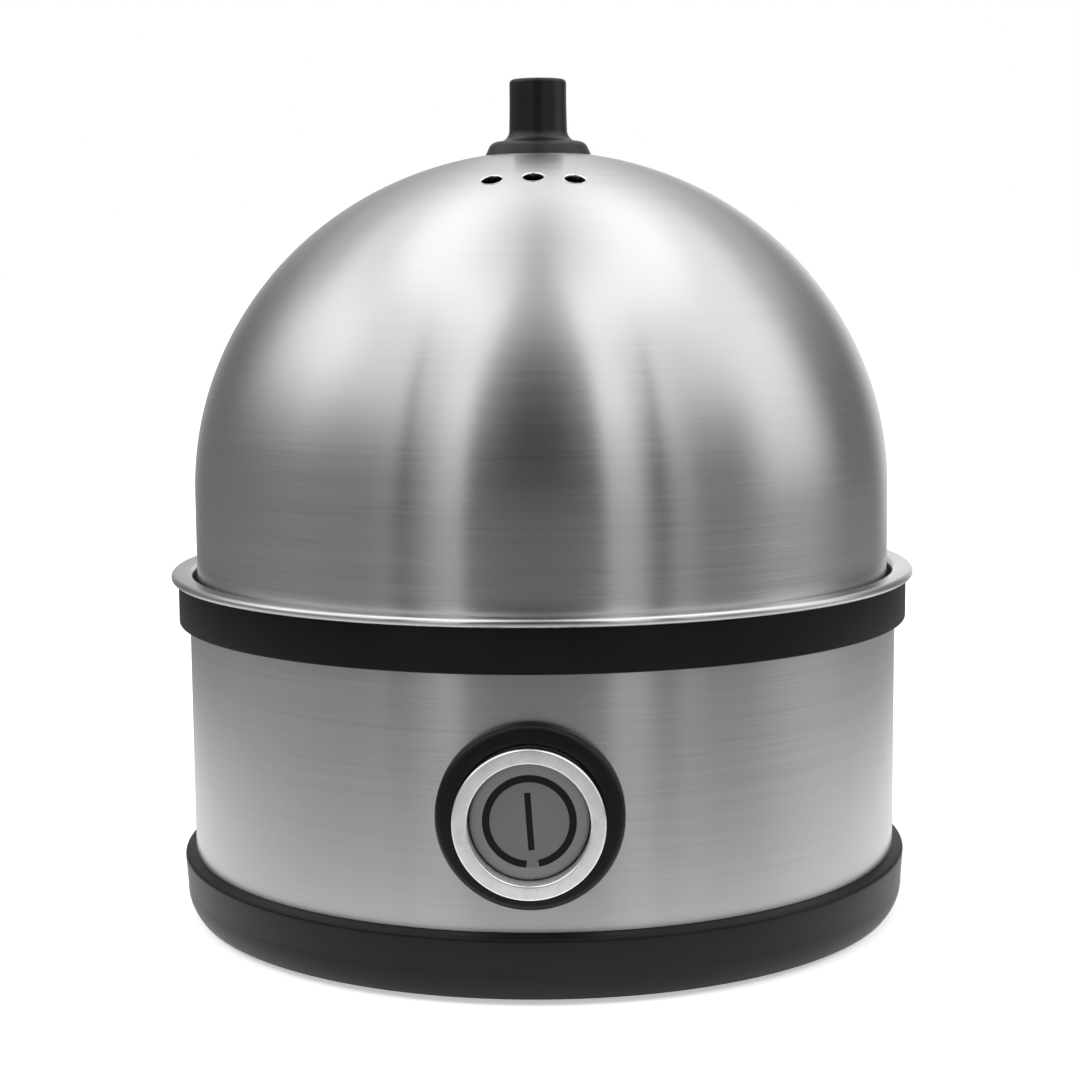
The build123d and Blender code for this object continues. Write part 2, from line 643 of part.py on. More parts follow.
with BuildPart() as thermostat_screws:
    with BuildSketch(Plane.XY.offset(CLIP_Z)):
        with Locations(*CLIP_SCREW_PLACES):
            Circle(BASE_SCREW_RADIUS)
    extrude(amount=PLATE_Z - CLIP_Z + 2.2)
    with BuildSketch(Plane.XY.offset(CLIP_Z)):
        with Locations(*CLIP_SCREW_PLACES):
            Circle(2.8)
    extrude(amount=-2.0)
finish(thermostat_screws, "thermostat_screws")

FUSE_X = -23.0
FUSE_Z = PLATE_Z - 3.3
FUSE_LEAD_REACH = 14.0

with BuildPart() as thermal_fuse:
    with BuildSketch(Plane.XZ):
        with Locations((FUSE_X, FUSE_Z)):
            Circle(2.0)
    extrude(amount=5.5, both=True)
    with BuildSketch(Plane.XZ):
        with Locations((FUSE_X, FUSE_Z)):
            Circle(0.5)
    extrude(amount=FUSE_LEAD_REACH, both=True)
finish(thermal_fuse, "thermal_fuse")

with BuildPart() as fuse_sleeve:
    with BuildSketch(Plane.XZ):
        with Locations((FUSE_X, FUSE_Z)):
            Circle(3.0)
            Circle(2.2, mode=Mode.SUBTRACT)
    extrude(amount=11, both=True)
finish(fuse_sleeve, "fuse_sleeve")

with BuildPart() as fuse_strap:
    with BuildSketch(Plane.XZ):
        with BuildLine():
            Polyline(
                (FUSE_X - 8, PLATE_Z),
                (FUSE_X - 3.1, PLATE_Z),
                (FUSE_X - 3.1, FUSE_Z),
            )
            ThreePointArc((FUSE_X - 3.1, FUSE_Z), (FUSE_X, FUSE_Z - 3.1), (FUSE_X + 3.1, FUSE_Z))
            Polyline(
                (FUSE_X + 3.1, FUSE_Z),
                (FUSE_X + 3.1, PLATE_Z),
                (FUSE_X + 8, PLATE_Z),
                (FUSE_X + 8, PLATE_Z - CLIP_SHEET),
                (FUSE_X + 3.9, PLATE_Z - CLIP_SHEET),
                (FUSE_X + 3.9, FUSE_Z),
            )
            ThreePointArc((FUSE_X + 3.9, FUSE_Z), (FUSE_X, FUSE_Z - 3.9), (FUSE_X - 3.9, FUSE_Z))
            Polyline(
                (FUSE_X - 3.9, FUSE_Z),
                (FUSE_X - 3.9, PLATE_Z - CLIP_SHEET),
                (FUSE_X - 8, PLATE_Z - CLIP_SHEET),
                (FUSE_X - 8, PLATE_Z),
            )
        make_face()
    extrude(amount=3.5, both=True)
finish(fuse_strap, "fuse_strap")

# ---- push button --------------------------------------------------------------------------------

SHELF_FRONT = BEZEL_FACE - 1.8
SHELF_BACK = SHELF_FRONT - 2.2
BEZEL_EDGE = 1.5
BEZEL_MOUTH = RING_WALL + 0.15

with BuildPart() as button_bezel:
    with BuildSketch(BUTTON_SECTION):
        with BuildLine():
            Polyline(
                (BEZEL_MOUTH, BAND_RADIUS - 5),
                (BEZEL_RADIUS, BAND_RADIUS - 5),
                (BEZEL_RADIUS, BEZEL_FACE - BEZEL_EDGE),
            )
            RadiusArc(
                (BEZEL_RADIUS, BEZEL_FACE - BEZEL_EDGE),
                (BEZEL_RADIUS - BEZEL_EDGE, BEZEL_FACE),
                -BEZEL_EDGE,
            )
            Polyline(
                (BEZEL_RADIUS - BEZEL_EDGE, BEZEL_FACE),
                (BEZEL_MOUTH, BEZEL_FACE),
                (BEZEL_MOUTH, BAND_RADIUS - 5),
            )
        make_face()
    revolve(axis=BUTTON_AXIS)
    with Locations((0, 0, BUTTON_Z)):
        Cylinder(BAND_RADIUS + 0.05, 60, mode=Mode.SUBTRACT)
    with BuildSketch(BUTTON_SECTION):
        Polygon(
            (BEZEL_NECK - 1.6, NECK_BACK),
            (BEZEL_NECK, NECK_BACK),
            (BEZEL_NECK, SHELF_FRONT),
            (BEZEL_MOUTH, SHELF_FRONT),
            (RING_INNER, SHELF_FRONT),
            (RING_INNER, SHELF_BACK),
            (BEZEL_NECK - 1.6, SHELF_BACK),
            align=None,
        )
    revolve(axis=BUTTON_AXIS)
finish(button_bezel, "button_bezel")

EDGE_REACH = RING_FRONT - RING_EDGE

with BuildPart() as chrome_ring:
    with BuildSketch(BUTTON_SECTION):
        with BuildLine():
            Polyline(
                (RING_INNER, EDGE_REACH),
                (RING_INNER, SHELF_FRONT),
                (RING_WALL, SHELF_FRONT),
                (RING_WALL, RING_STEP + RING_WALL - RING_RADIUS),
                (RING_RADIUS, RING_STEP),
                (RING_RADIUS, EDGE_REACH),
            )
            RadiusArc((RING_RADIUS, EDGE_REACH), (RING_RADIUS - RING_EDGE, RING_FRONT), -RING_EDGE)
            Line((RING_RADIUS - RING_EDGE, RING_FRONT), (RING_INNER + RING_EDGE, RING_FRONT))
            RadiusArc((RING_INNER + RING_EDGE, RING_FRONT), (RING_INNER, EDGE_REACH), -RING_EDGE)
        make_face()
    revolve(axis=BUTTON_AXIS)
finish(chrome_ring, "chrome_ring")

NUT_FRONT = 84.4

with BuildPart() as bezel_nut:
    with BuildSketch(Plane.XZ.offset(NUT_FRONT)):
        with Locations((0, BUTTON_Z)):
            Circle(BEZEL_NECK + 2.8)
            with PolarLocations(BEZEL_NECK + 3.2, 8):
                Rectangle(2.4, 5, mode=Mode.SUBTRACT)
            Circle(BEZEL_NECK + 0.1, mode=Mode.SUBTRACT)
    extrude(amount=-3.4)
finish(bezel_nut, "bezel_nut")

SWITCH_HALF = 10.0
SWITCH_FRONT = NECK_BACK - 2.0
SWITCH_BACK = 56.0
PLUNGER_RADIUS = 2.4
PLUNGER_ENTRY = 6.0          # how far the plunger stands in the switch at rest
LAMP_PLACE = (9.0, BUTTON_Z)
LAMP_RADIUS = 1.5

with BuildPart() as switch_carrier:
    with BuildSketch(Plane.XZ.offset(SWITCH_FRONT)):
        with Locations((0, BUTTON_Z)):
            Circle(BEZEL_NECK)
            Circle(PLUNGER_RADIUS + 0.4, mode=Mode.SUBTRACT)
        with Locations(LAMP_PLACE):
            Circle(LAMP_RADIUS + 0.1, mode=Mode.SUBTRACT)
    extrude(amount=NECK_BACK - SWITCH_FRONT)
finish(switch_carrier, "switch_carrier")

with BuildPart() as switch_body:
    with BuildSketch(Plane.XZ.offset(SWITCH_BACK)):
        with Locations((0, BUTTON_Z)):
            RectangleRounded(2 * SWITCH_HALF, 2 * SWITCH_HALF, 1.2)
    extrude(amount=SWITCH_FRONT - SWITCH_BACK)
    with BuildSketch(Plane.XZ.offset(SWITCH_FRONT)):
        with Locations((0, BUTTON_Z)):
            Circle(PLUNGER_RADIUS + 0.4)
    extrude(amount=-(PLUNGER_ENTRY + BUTTON_TRAVEL + 1), mode=Mode.SUBTRACT)
    with BuildSketch(Plane.XZ.offset(SWITCH_FRONT)):
        with Locations(LAMP_PLACE):
            Circle(LAMP_RADIUS + 0.1)
    extrude(amount=-4, mode=Mode.SUBTRACT)
finish(switch_body, "switch_body")

with BuildPart() as switch_lamp:
    with BuildSketch(Plane.XZ.offset(SWITCH_FRONT - 3.5)):
        with Locations(LAMP_PLACE):
            Circle(LAMP_RADIUS)
    extrude(amount=9)
    fillet(switch_lamp.edges().group_by(Axis.Y)[0], 1.2)
finish(switch_lamp, "switch_lamp")

FLANGE_FRONT = SHELF_BACK - GAP
CAP_BACK = CAP_FACE - 2.2
FLANGE_RADIUS = CAP_RADIUS + 2.2
STEM_RADIUS = 3.0
STEM_BACK = 78.0
MARK_DEPTH = 0.7
MARK_TILT = 3.8
MARK_RADIUS = 10.1
MARK_STROKE = 1.5
MARK_PLANE = Plane(
    origin=(0, MARK_DEPTH - CAP_FACE, BUTTON_Z),
    x_dir=(cos(radians(MARK_TILT)), 0, sin(radians(MARK_TILT))),
    z_dir=(0, -1, 0),
)


def power_mark():
    """The mark on the button: a ring open at the foot, with an upright bar inside it."""
    Circle(MARK_RADIUS)
    Circle(MARK_RADIUS - MARK_STROKE, mode=Mode.SUBTRACT)
    with Locations((0, 0.7 - MARK_RADIUS)):
        Rectangle(2.7, 3, mode=Mode.SUBTRACT)
    Rectangle(1.27, 12.5)


with BuildPart() as button_cap:
    with BuildSketch(BUTTON_SECTION):
        Polygon(
            (0, CAP_FACE),
            (CAP_RADIUS - 0.3, CAP_FACE),
            (CAP_RADIUS, CAP_FACE - 0.3),
            (CAP_RADIUS, FLANGE_FRONT),
            (FLANGE_RADIUS, FLANGE_FRONT),
            (FLANGE_RADIUS, FLANGE_FRONT - 1.2),
            (CAP_RADIUS - 1.3, FLANGE_FRONT - 1.2),
            (CAP_RADIUS - 1.3, CAP_BACK),
            (STEM_RADIUS, CAP_BACK),
            (STEM_RADIUS, STEM_BACK),
            (0, STEM_BACK),
            align=None,
        )
    revolve(axis=BUTTON_AXIS)
    with BuildSketch(MARK_PLANE):
        power_mark()
    extrude(amount=MARK_DEPTH + 1, mode=Mode.SUBTRACT)
finish(button_cap, "button_cap")

with BuildPart() as button_light_guide:
    with BuildSketch(MARK_PLANE):
        power_mark()
    extrude(amount=MARK_DEPTH)
finish(button_light_guide, "button_light_guide")

with BuildPart() as switch_plunger:
    with BuildSketch(Plane.XZ.offset(STEM_BACK)):
        with Locations((0, BUTTON_Z)):
            Circle(PLUNGER_RADIUS)
    extrude(amount=SWITCH_FRONT - PLUNGER_ENTRY - STEM_BACK)
finish(switch_plunger, "switch_plunger")

SPRING_RADIUS = 5.0
SPRING_WIRE = 0.45
SPRING_PITCH = 3.2
spring_length = CAP_BACK - NECK_BACK - 2 * SPRING_WIRE - 0.1

with BuildPart() as switch_spring:
    with BuildLine() as coil:
        Helix(
            pitch=SPRING_PITCH,
            height=spring_length,
            radius=SPRING_RADIUS,
            center=(0, -NECK_BACK - SPRING_WIRE - 0.05, BUTTON_Z),
            direction=(0, -1, 0),
        )
    with BuildSketch(Plane(origin=coil.line @ 0, z_dir=coil.line % 0)):
        Circle(SPRING_WIRE)
    sweep(path=coil.line, is_frenet=True)
finish(switch_spring, "switch_spring")

# ---- mains inlet --------------------------------------------------------------------------------

GLAND_TIP = RING_FRONT       # as far behind the axis as the button's ring is in front of it
GLAND_BACK = 78.0
GLAND_FLANGE = 8.0
HEX_FRONT = 85.0             # where the six-sided neck gives way to the threaded one
THROAT_START = BAND_RADIUS + 1

with BuildPart() as cord_gland:
    with BuildSketch(GLAND_SECTION):
        Polygon(
            (GLAND_ROOM, BAND_RADIUS - 4),
            (GLAND_FLANGE, BAND_RADIUS - 4),
            (GLAND_FLANGE, BAND_RADIUS + 1.6),
            (GLAND_FLANGE - 0.6, BAND_RADIUS + 2.2),
            (GLAND_NECK + 1.4, BAND_RADIUS + 2.2),
            (GLAND_NECK + 0.2, GLAND_TIP),
            (GLAND_BORE, GLAND_TIP),
            (GLAND_BORE, THROAT_START),
            (GLAND_ROOM, THROAT_START),
            align=None,
        )
    revolve(axis=GLAND_AXIS)
    with Locations((0, 0, GLAND_Z)):
        Cylinder(BAND_RADIUS + 0.05, 30, mode=Mode.SUBTRACT)
    with BuildSketch(Plane.XZ.offset(-HEX_FRONT)):
        with Locations((0, GLAND_Z)):
            RegularPolygon(GLAND_HEX, 6)
            Circle(GLAND_ROOM, mode=Mode.SUBTRACT)
    extrude(amount=HEX_FRONT - THROAT_START)
    with BuildSketch(Plane.XZ.offset(-GLAND_BACK)):
        with Locations((0, GLAND_Z)):
            Circle(GLAND_NECK)
            Circle(GLAND_ROOM, mode=Mode.SUBTRACT)
    extrude(amount=GLAND_BACK - THROAT_START)
finish(cord_gland, "cord_gland")

with BuildPart() as gland_nut:
    with BuildSketch(Plane.XZ.offset(0.1 - HEX_FRONT)):
        with Locations((0, GLAND_Z)):
            RegularPolygon(8.6, 6)
            Circle(GLAND_NECK + 0.1, mode=Mode.SUBTRACT)
    extrude(amount=4)
finish(gland_nut, "gland_nut")

BLOCK_FRONT_Y = 52.0
BLOCK_DEPTH = 14.0
BLOCK_WIDTH = 38.0
BLOCK_HEIGHT = 13.0
WIRE_HEIGHT = FLOOR_Z + 6.0
LIVE_X, NEUTRAL_X, EARTH_X = -1.5, cold_ends[0].X, -14.0
WIRE_RADIUS = 1.1

with BuildPart() as terminal_block:
    with BuildSketch(Plane.XY.offset(FLOOR_Z + 0.05)):
        with Locations((0, BLOCK_FRONT_Y + BLOCK_DEPTH / 2)):
            RectangleRounded(BLOCK_WIDTH, BLOCK_DEPTH, 1.0)
    extrude(amount=BLOCK_HEIGHT)
    with BuildSketch(Plane.XY.offset(FLOOR_Z + BLOCK_HEIGHT + 1)):
        for x in (LIVE_X, NEUTRAL_X, EARTH_X):
            with Locations((x, BLOCK_FRONT_Y + BLOCK_DEPTH / 2)):
                Circle(2.4)
    extrude(amount=-5, mode=Mode.SUBTRACT)
finish(terminal_block, "terminal_block")

with BuildPart() as terminal_screws:
    with BuildSketch(Plane.XY.offset(FLOOR_Z + BLOCK_HEIGHT - 3.9)):
        for x in (LIVE_X, NEUTRAL_X, EARTH_X):
            with Locations((x, BLOCK_FRONT_Y + BLOCK_DEPTH / 2)):
                Circle(2.2)
    extrude(amount=3.2)
    with BuildSketch(Plane.XY.offset(FLOOR_Z + BLOCK_HEIGHT - 0.7)):
        for x in (LIVE_X, NEUTRAL_X, EARTH_X):
            with Locations((x, BLOCK_FRONT_Y + BLOCK_DEPTH / 2)):
                Rectangle(5, 0.7)
    extrude(amount=-1, mode=Mode.SUBTRACT)
finish(terminal_screws, "terminal_screws")

# ---- blades, push-on sleeves and wires ----------------------------------------------------------

BLADE_WIDTH = 6.3
BLADE_SHEET = 0.8
BLADE_LENGTH = 8.0
SLEEVE_LENGTH = 11.0
SLEEVE_WALL = 0.9
EARTH_PLACE = polar(66.0, 122)
EARTH_BLADE_Z = PAN_UNDER_Z - BLADE_SHEET

DOWN = Vector(0, 0, -1)
INWARD = Vector(0, 1, 0)
BLADES = {
    "switch_live": (Vector(-5, -SWITCH_BACK, BUTTON_Z), INWARD, (1, 0, 0)),
    "switch_load": (Vector(5, -SWITCH_BACK, BUTTON_Z), INWARD, (1, 0, 0)),
    "thermostat_in": (Vector(4.5, 0, PLATE_Z - THERMOSTAT_DEPTH), DOWN, (1, 0, 0)),
    "thermostat_out": (Vector(-4.5, 0, PLATE_Z - THERMOSTAT_DEPTH), DOWN, (1, 0, 0)),
    "element_neutral": (cold_ends[0] + DOWN * 1.5, DOWN, (1, 0, 0)),
    "element_load": (cold_ends[1] + DOWN * 1.5, DOWN, (1, 0, 0)),
    "earth": (Vector(EARTH_PLACE[0], EARTH_PLACE[1], EARTH_BLADE_Z), DOWN, (1, 0, 0)),
}


def blade_plane(name):
    """The plane across a blade at its root; its first direction is the blade's thickness."""
    root, heading, thickness = BLADES[name]
    return Plane(origin=root, x_dir=thickness, z_dir=heading)


def sleeve_end(name):
    """Where the wire leaves the sleeve that is pushed on a blade."""
    root, heading, thickness = BLADES[name]
    return root + heading * (SLEEVE_LENGTH + 0.3)


BLADE_GROUPS = {
    "switch_tabs": ["switch_live", "switch_load"],
    "thermostat_tabs": ["thermostat_in", "thermostat_out"],
    "element_tabs": ["element_neutral", "element_load"],
}

for group, names in BLADE_GROUPS.items():
    with BuildPart() as tabs:
        for name in names:
            with BuildSketch(blade_plane(name)):
                Rectangle(BLADE_SHEET, BLADE_WIDTH)
            extrude(amount=BLADE_LENGTH)
    finish(tabs, group)

with BuildPart() as earth_tag:
    with BuildSketch(blade_plane("earth")):
        Rectangle(BLADE_SHEET, BLADE_WIDTH)
    extrude(amount=BLADE_LENGTH)
    with BuildSketch(Plane.XY.offset(EARTH_BLADE_Z)):
        with Locations(EARTH_PLACE[:2]):
            Rectangle(9, BLADE_WIDTH)
    extrude(amount=BLADE_SHEET)
finish(earth_tag, "earth_tag")

with BuildPart() as push_on_sleeves:
    for name in BLADES:
        with BuildSketch(blade_plane(name).offset(0.3)):
            RectangleRounded(BLADE_SHEET + 2 * SLEEVE_WALL, BLADE_WIDTH + 2 * SLEEVE_WALL, 0.8)
        extrude(amount=SLEEVE_LENGTH)
    for name in BLADES:
        with BuildSketch(blade_plane(name)):
            Rectangle(BLADE_SHEET + 0.1, BLADE_WIDTH + 0.1)
        extrude(amount=BLADE_LENGTH + 0.1, mode=Mode.SUBTRACT)
finish(push_on_sleeves, "push_on_sleeves")

BLOCK_FACE_Y = BLOCK_FRONT_Y - 0.05
WIRES = {
    "wire_live": (
        6.0,
        [
            (LIVE_X, BLOCK_FACE_Y, WIRE_HEIGHT),
            (LIVE_X, 36, WIRE_HEIGHT),
            (5, 12, WIRE_HEIGHT - 2),
            (-3, -10, WIRE_HEIGHT + 4),
            (-5, -25, BUTTON_Z),
            sleeve_end("switch_live"),
        ],
    ),
    "wire_neutral": (
        6.0,
        [
            (NEUTRAL_X, BLOCK_FACE_Y, WIRE_HEIGHT),
            (NEUTRAL_X, cold_ends[0].Y, WIRE_HEIGHT),
            sleeve_end("element_neutral"),
        ],
    ),
    "wire_earth": (
        5.0,
        [
            (EARTH_X, BLOCK_FACE_Y, WIRE_HEIGHT),
            (EARTH_X, 38, WIRE_HEIGHT),
            (-29, 35, WIRE_HEIGHT),
            (EARTH_PLACE[0], 46, WIRE_HEIGHT + 9),
            (EARTH_PLACE[0], EARTH_PLACE[1], WIRE_HEIGHT + 24),
            sleeve_end("earth"),
        ],
    ),
    "wire_switch_to_thermostat": (
        5.5,
        [
            sleeve_end("switch_load"),
            (5, -28, BUTTON_Z),
            (13, -14, 20),
            (4.5, 0, 16),
            sleeve_end("thermostat_in"),
        ],
    ),
    "wire_thermostat_to_fuse": (
        5.0,
        [
            sleeve_end("thermostat_out"),
            (-4.5, 0, 22),
            (-15, -15, 22),
            (FUSE_X, -27, 36),
            (FUSE_X, -27, FUSE_Z),
            (FUSE_X, -FUSE_LEAD_REACH, FUSE_Z),
        ],
    ),
    "wire_fuse_to_element": (
        5.0,
        [
            sleeve_end("element_load"),
            (cold_ends[1].X, cold_ends[1].Y, 16),
            (-20, 28, 13),
            (-25, 26, 34),
            (FUSE_X, 26, FUSE_Z),
            (FUSE_X, FUSE_LEAD_REACH, FUSE_Z),
        ],
    ),
}

for name, (bend, points) in WIRES.items():
    with BuildPart() as wire:
        with BuildLine() as route:
            FilletPolyline(*points, radius=bend)
        with BuildSketch(Plane(origin=route.line @ 0, z_dir=route.line % 0)):
            Circle(WIRE_RADIUS)
        sweep(path=route.line)
    finish(wire, name)
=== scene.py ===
"""A seven-egg boiler: domed steel lid, lift-out egg tray, heated pan and steel-banded base."""

import json
from math import acos, asin, hypot, pi, radians, sin, cos, sqrt, tan

import bmesh
import bpy
from bpy.props import FloatProperty, FloatVectorProperty, IntProperty, PointerProperty
from mathutils import Matrix, Vector


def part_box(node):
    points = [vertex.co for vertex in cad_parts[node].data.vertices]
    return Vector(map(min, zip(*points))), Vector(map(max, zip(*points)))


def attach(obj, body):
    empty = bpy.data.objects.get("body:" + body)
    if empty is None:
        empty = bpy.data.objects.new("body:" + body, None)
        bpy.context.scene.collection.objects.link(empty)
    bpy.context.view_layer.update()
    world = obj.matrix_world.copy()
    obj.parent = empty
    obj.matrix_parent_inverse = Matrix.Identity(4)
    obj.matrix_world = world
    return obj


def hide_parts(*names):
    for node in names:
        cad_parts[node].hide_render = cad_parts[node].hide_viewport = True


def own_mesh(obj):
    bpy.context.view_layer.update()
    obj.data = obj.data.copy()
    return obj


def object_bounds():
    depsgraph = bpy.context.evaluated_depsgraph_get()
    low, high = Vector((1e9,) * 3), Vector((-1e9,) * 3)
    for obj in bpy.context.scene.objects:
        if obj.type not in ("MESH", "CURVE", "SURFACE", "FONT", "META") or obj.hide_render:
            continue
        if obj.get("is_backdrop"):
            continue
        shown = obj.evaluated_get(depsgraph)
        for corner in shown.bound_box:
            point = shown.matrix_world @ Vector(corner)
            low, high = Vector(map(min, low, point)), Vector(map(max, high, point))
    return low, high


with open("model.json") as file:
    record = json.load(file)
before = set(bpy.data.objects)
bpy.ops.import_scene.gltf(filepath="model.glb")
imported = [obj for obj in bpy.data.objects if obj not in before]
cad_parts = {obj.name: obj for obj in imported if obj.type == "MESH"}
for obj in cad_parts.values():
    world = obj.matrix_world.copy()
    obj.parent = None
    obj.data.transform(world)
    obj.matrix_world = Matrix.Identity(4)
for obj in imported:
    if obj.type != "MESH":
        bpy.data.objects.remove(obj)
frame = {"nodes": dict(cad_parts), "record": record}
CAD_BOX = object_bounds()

bl_info = {
    "name": "Egg boiler",
    "version": (1, 1, 0),
    "blender": (4, 5, 0),
    "location": "View3D > Sidebar > Egg boiler",
    "description": "Dresses the packed egg boiler with spun, moulded and plated pieces",
    "category": "Object",
}

MM = 0.001
TURN = 2 * pi
CREASE = radians(32)  # an edge that bends more than this stays sharp


# ---- sizes ---------------------------------------------------------------------------------------

class BoilerSizes(bpy.types.PropertyGroup):
    """Sizes that a maker would change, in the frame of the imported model."""

    lid_radius: FloatProperty(
        name="Lid radius", description="Outside of the lid's upright wall",
        default=86.15 * MM, unit="LENGTH")
    lid_shoulder: FloatProperty(
        name="Lid shoulder", description="Height at which the lid's wall turns into the dome",
        default=105.5 * MM, unit="LENGTH")
    lid_top: FloatProperty(
        name="Lid top", description="Height of the dome's crown",
        default=188.2 * MM, unit="LENGTH")
    lid_hem: FloatProperty(
        name="Lid hem", description="Radius of the bead rolled at the foot of the lid",
        default=0.75 * MM, unit="LENGTH")
    sheet: FloatProperty(
        name="Sheet", description="Thickness of the lid's steel",
        default=0.6 * MM, unit="LENGTH")
    vent_radius: FloatProperty(
        name="Vent radius", description="Radius of each steam vent",
        default=2.5 * MM, unit="LENGTH")
    vent_row: FloatProperty(
        name="Vent row", description="Distance of the row of steam vents in front of the knob's axis",
        default=36.0 * MM, unit="LENGTH")
    vent_pitch: FloatProperty(
        name="Vent pitch", description="Distance from one steam vent to the next",
        default=9.65 * MM, unit="LENGTH")
    band_radius: FloatProperty(
        name="Band radius", description="Outside of the steel band round the housing",
        default=88.25 * MM, unit="LENGTH")
    button_height: FloatProperty(
        name="Button height", description="Height of the push button's centre",
        default=42.5 * MM, unit="LENGTH")
    mark_tilt: FloatProperty(
        name="Mark tilt", description="Turn of the power mark against the clock",
        default=radians(3.8), subtype="ANGLE")
    gland_height: FloatProperty(
        name="Gland height", description="Height of the cord outlet's centre",
        default=31.0 * MM, unit="LENGTH")
    turns: IntProperty(
        name="Steps", description="Steps in a full turn of a spun piece",
        default=192, min=24)


class BoilerColours(bpy.types.PropertyGroup):
    """Colours of the finishes."""

    steel: FloatVectorProperty(
        name="Steel", description="Brushed stainless steel",
        default=(0.60, 0.60, 0.60), subtype="COLOR", size=3)
    plastic: FloatVectorProperty(
        name="Plastic", description="Black moulded plastic",
        default=(0.0040, 0.0040, 0.0040), subtype="COLOR", size=3)
    base: FloatVectorProperty(
        name="Base", description="Black plastic of the base",
        default=(0.0040, 0.0040, 0.0040), subtype="COLOR", size=3)
    satin: FloatVectorProperty(
        name="Satin", description="Satin grey of the push cap",
        default=(0.115, 0.115, 0.115), subtype="COLOR", size=3)


def sizes():
    return bpy.context.scene.boiler_sizes


def colours():
    return bpy.context.scene.boiler_colours


# ---- node wrapper --------------------------------------------------------------------------------

class Wire:
    """A node's output, worked on with Python's own signs."""

    def __init__(self, bench, socket):
        self.bench = bench
        self.socket = socket

    def math(self, operation, *values):
        return self.bench.node("Math", {"operation": operation}, dict(enumerate(values)))

    def __add__(self, other):
        return self.math("ADD", self, other)

    __radd__ = __add__

    def __sub__(self, other):
        return self.math("SUBTRACT", self, other)

    def __rsub__(self, other):
        return self.math("SUBTRACT", other, self)

    def __mul__(self, other):
        return self.math("MULTIPLY", self, other)

    __rmul__ = __mul__

    def __pow__(self, other):
        return self.math("POWER", self, other)

    def __abs__(self):
        return self.math("ABSOLUTE", self)

    def ramp(self, low, high, start=0.0, end=1.0):
        """Runs smoothly from start to end as this goes from low to high."""
        return self.bench.node(
            "MapRange", {"interpolation_type": "SMOOTHSTEP"},
            {"Value": self, "From Min": low, "From Max": high, "To Min": start, "To Max": end})

    def between(self, start, full, fade, end, height=1.0):
        """Rises smoothly to a height from start to full, and sinks to nothing from fade to end."""
        return self.ramp(start, full, 0.0, height) * (1 - self.ramp(fade, end))


class Bench:
    """Lays out the nodes of one finish."""

    def __init__(self, tree):
        self.tree = tree
        tree.nodes.clear()

    def node(self, kind, settings=None, sockets=None, out=0):
        made = self.tree.nodes.new("ShaderNode" + kind)
        for name, value in (settings or {}).items():
            setattr(made, name, value)
        for name, value in (sockets or {}).items():
            socket = made.inputs[name]
            if isinstance(value, Wire):
                self.tree.links.new(value.socket, socket)
            elif value is not None:
                socket.default_value = value
        return Wire(self, made.outputs[out]) if made.outputs else made

    def place(self):
        return self.node("TexCoord", out="Object")

    def parts(self, vector):
        split = self.node("SeparateXYZ", sockets={0: vector}).socket.node
        return [Wire(self, split.outputs[axis]) for axis in "XYZ"]

    def vector(self, x, y, z):
        return self.node("CombineXYZ", sockets={"X": x, "Y": y, "Z": z})

    def angle(self, up, along):
        return self.node("Math", {"operation": "ARCTAN2"}, {0: up, 1: along})

    def noise(self, vector, scale, detail=2.0, roughness=0.5):
        return self.node(
            "TexNoise", {"noise_dimensions": "3D"},
            {"Vector": vector, "Scale": scale, "Detail": detail, "Roughness": roughness})

    def tint(self, factor, dark, light):
        """A colour between two others."""
        return self.node(
            "Mix", {"data_type": "RGBA"},
            {0: factor, 6: (*dark, 1.0), 7: (*light, 1.0)}, out=2)

    def bump(self, height, strength, distance):
        return self.node(
            "Bump", sockets={"Strength": strength, "Distance": distance, "Height": height})

    def seen_by(self, *rays):
        """One where the ray is of a kind that is named."""
        path = self.node("LightPath").socket.node.outputs
        return sum(Wire(self, path[f"Is {ray} Ray"]) for ray in rays)


def finish(name, draw):
    """A material whose draw function gives the sockets of its one surface shader."""
    made = bpy.data.materials.new(name)
    made.use_nodes = True
    bench = Bench(made.node_tree)
    shader = bench.node("BsdfPrincipled", sockets=draw(bench))
    bench.node("OutputMaterial", sockets={"Surface": shader})
    return made


def shade(colour, factor):
    return tuple(channel * factor for channel in colour)


# ---- finishes ------------------------------------------------------------------------------------

def hairlines(bench, along, across, rise):
    """Noise drawn out round the upright axis, as fine as the strokes of a brush."""
    x, y, _ = bench.parts(bench.place())
    return bench.noise(bench.vector(x * along, y * along, rise * across), 1.0, 2.0, 0.6)


def brushed(rise_of, roughness=0.25, lustre=1.0):
    """Steel brushed in circles; rise_of gives the distance walked up the piece's side."""

    def draw(bench):
        x, y, z = bench.parts(bench.place())
        rise = rise_of(bench, x, y, z)
        fine = hairlines(bench, 24.0, 6500.0, rise)
        soft = hairlines(bench, 9.0, 900.0, rise)
        cloud = bench.noise(bench.place(), 26.0, 3.0)
        steel = shade(colours().steel, lustre)
        mix = fine * 0.6 + soft * 0.4
        return {
            "Base Color": bench.tint(mix.ramp(0.3, 0.7), shade(steel, 0.97), shade(steel, 1.03)),
            "Metallic": 1.0,
            "Roughness": mix.ramp(0.25, 0.75, roughness - 0.025, roughness + 0.025)
            + (cloud - 0.5) * 0.03,
            "Anisotropic": 0.9,
            "Anisotropic Rotation": 0.25,
            "Normal": bench.bump(fine + soft * 0.3, 0.2, 0.000004),
        }

    return draw


def up_the_wall(bench, x, y, z):
    return z


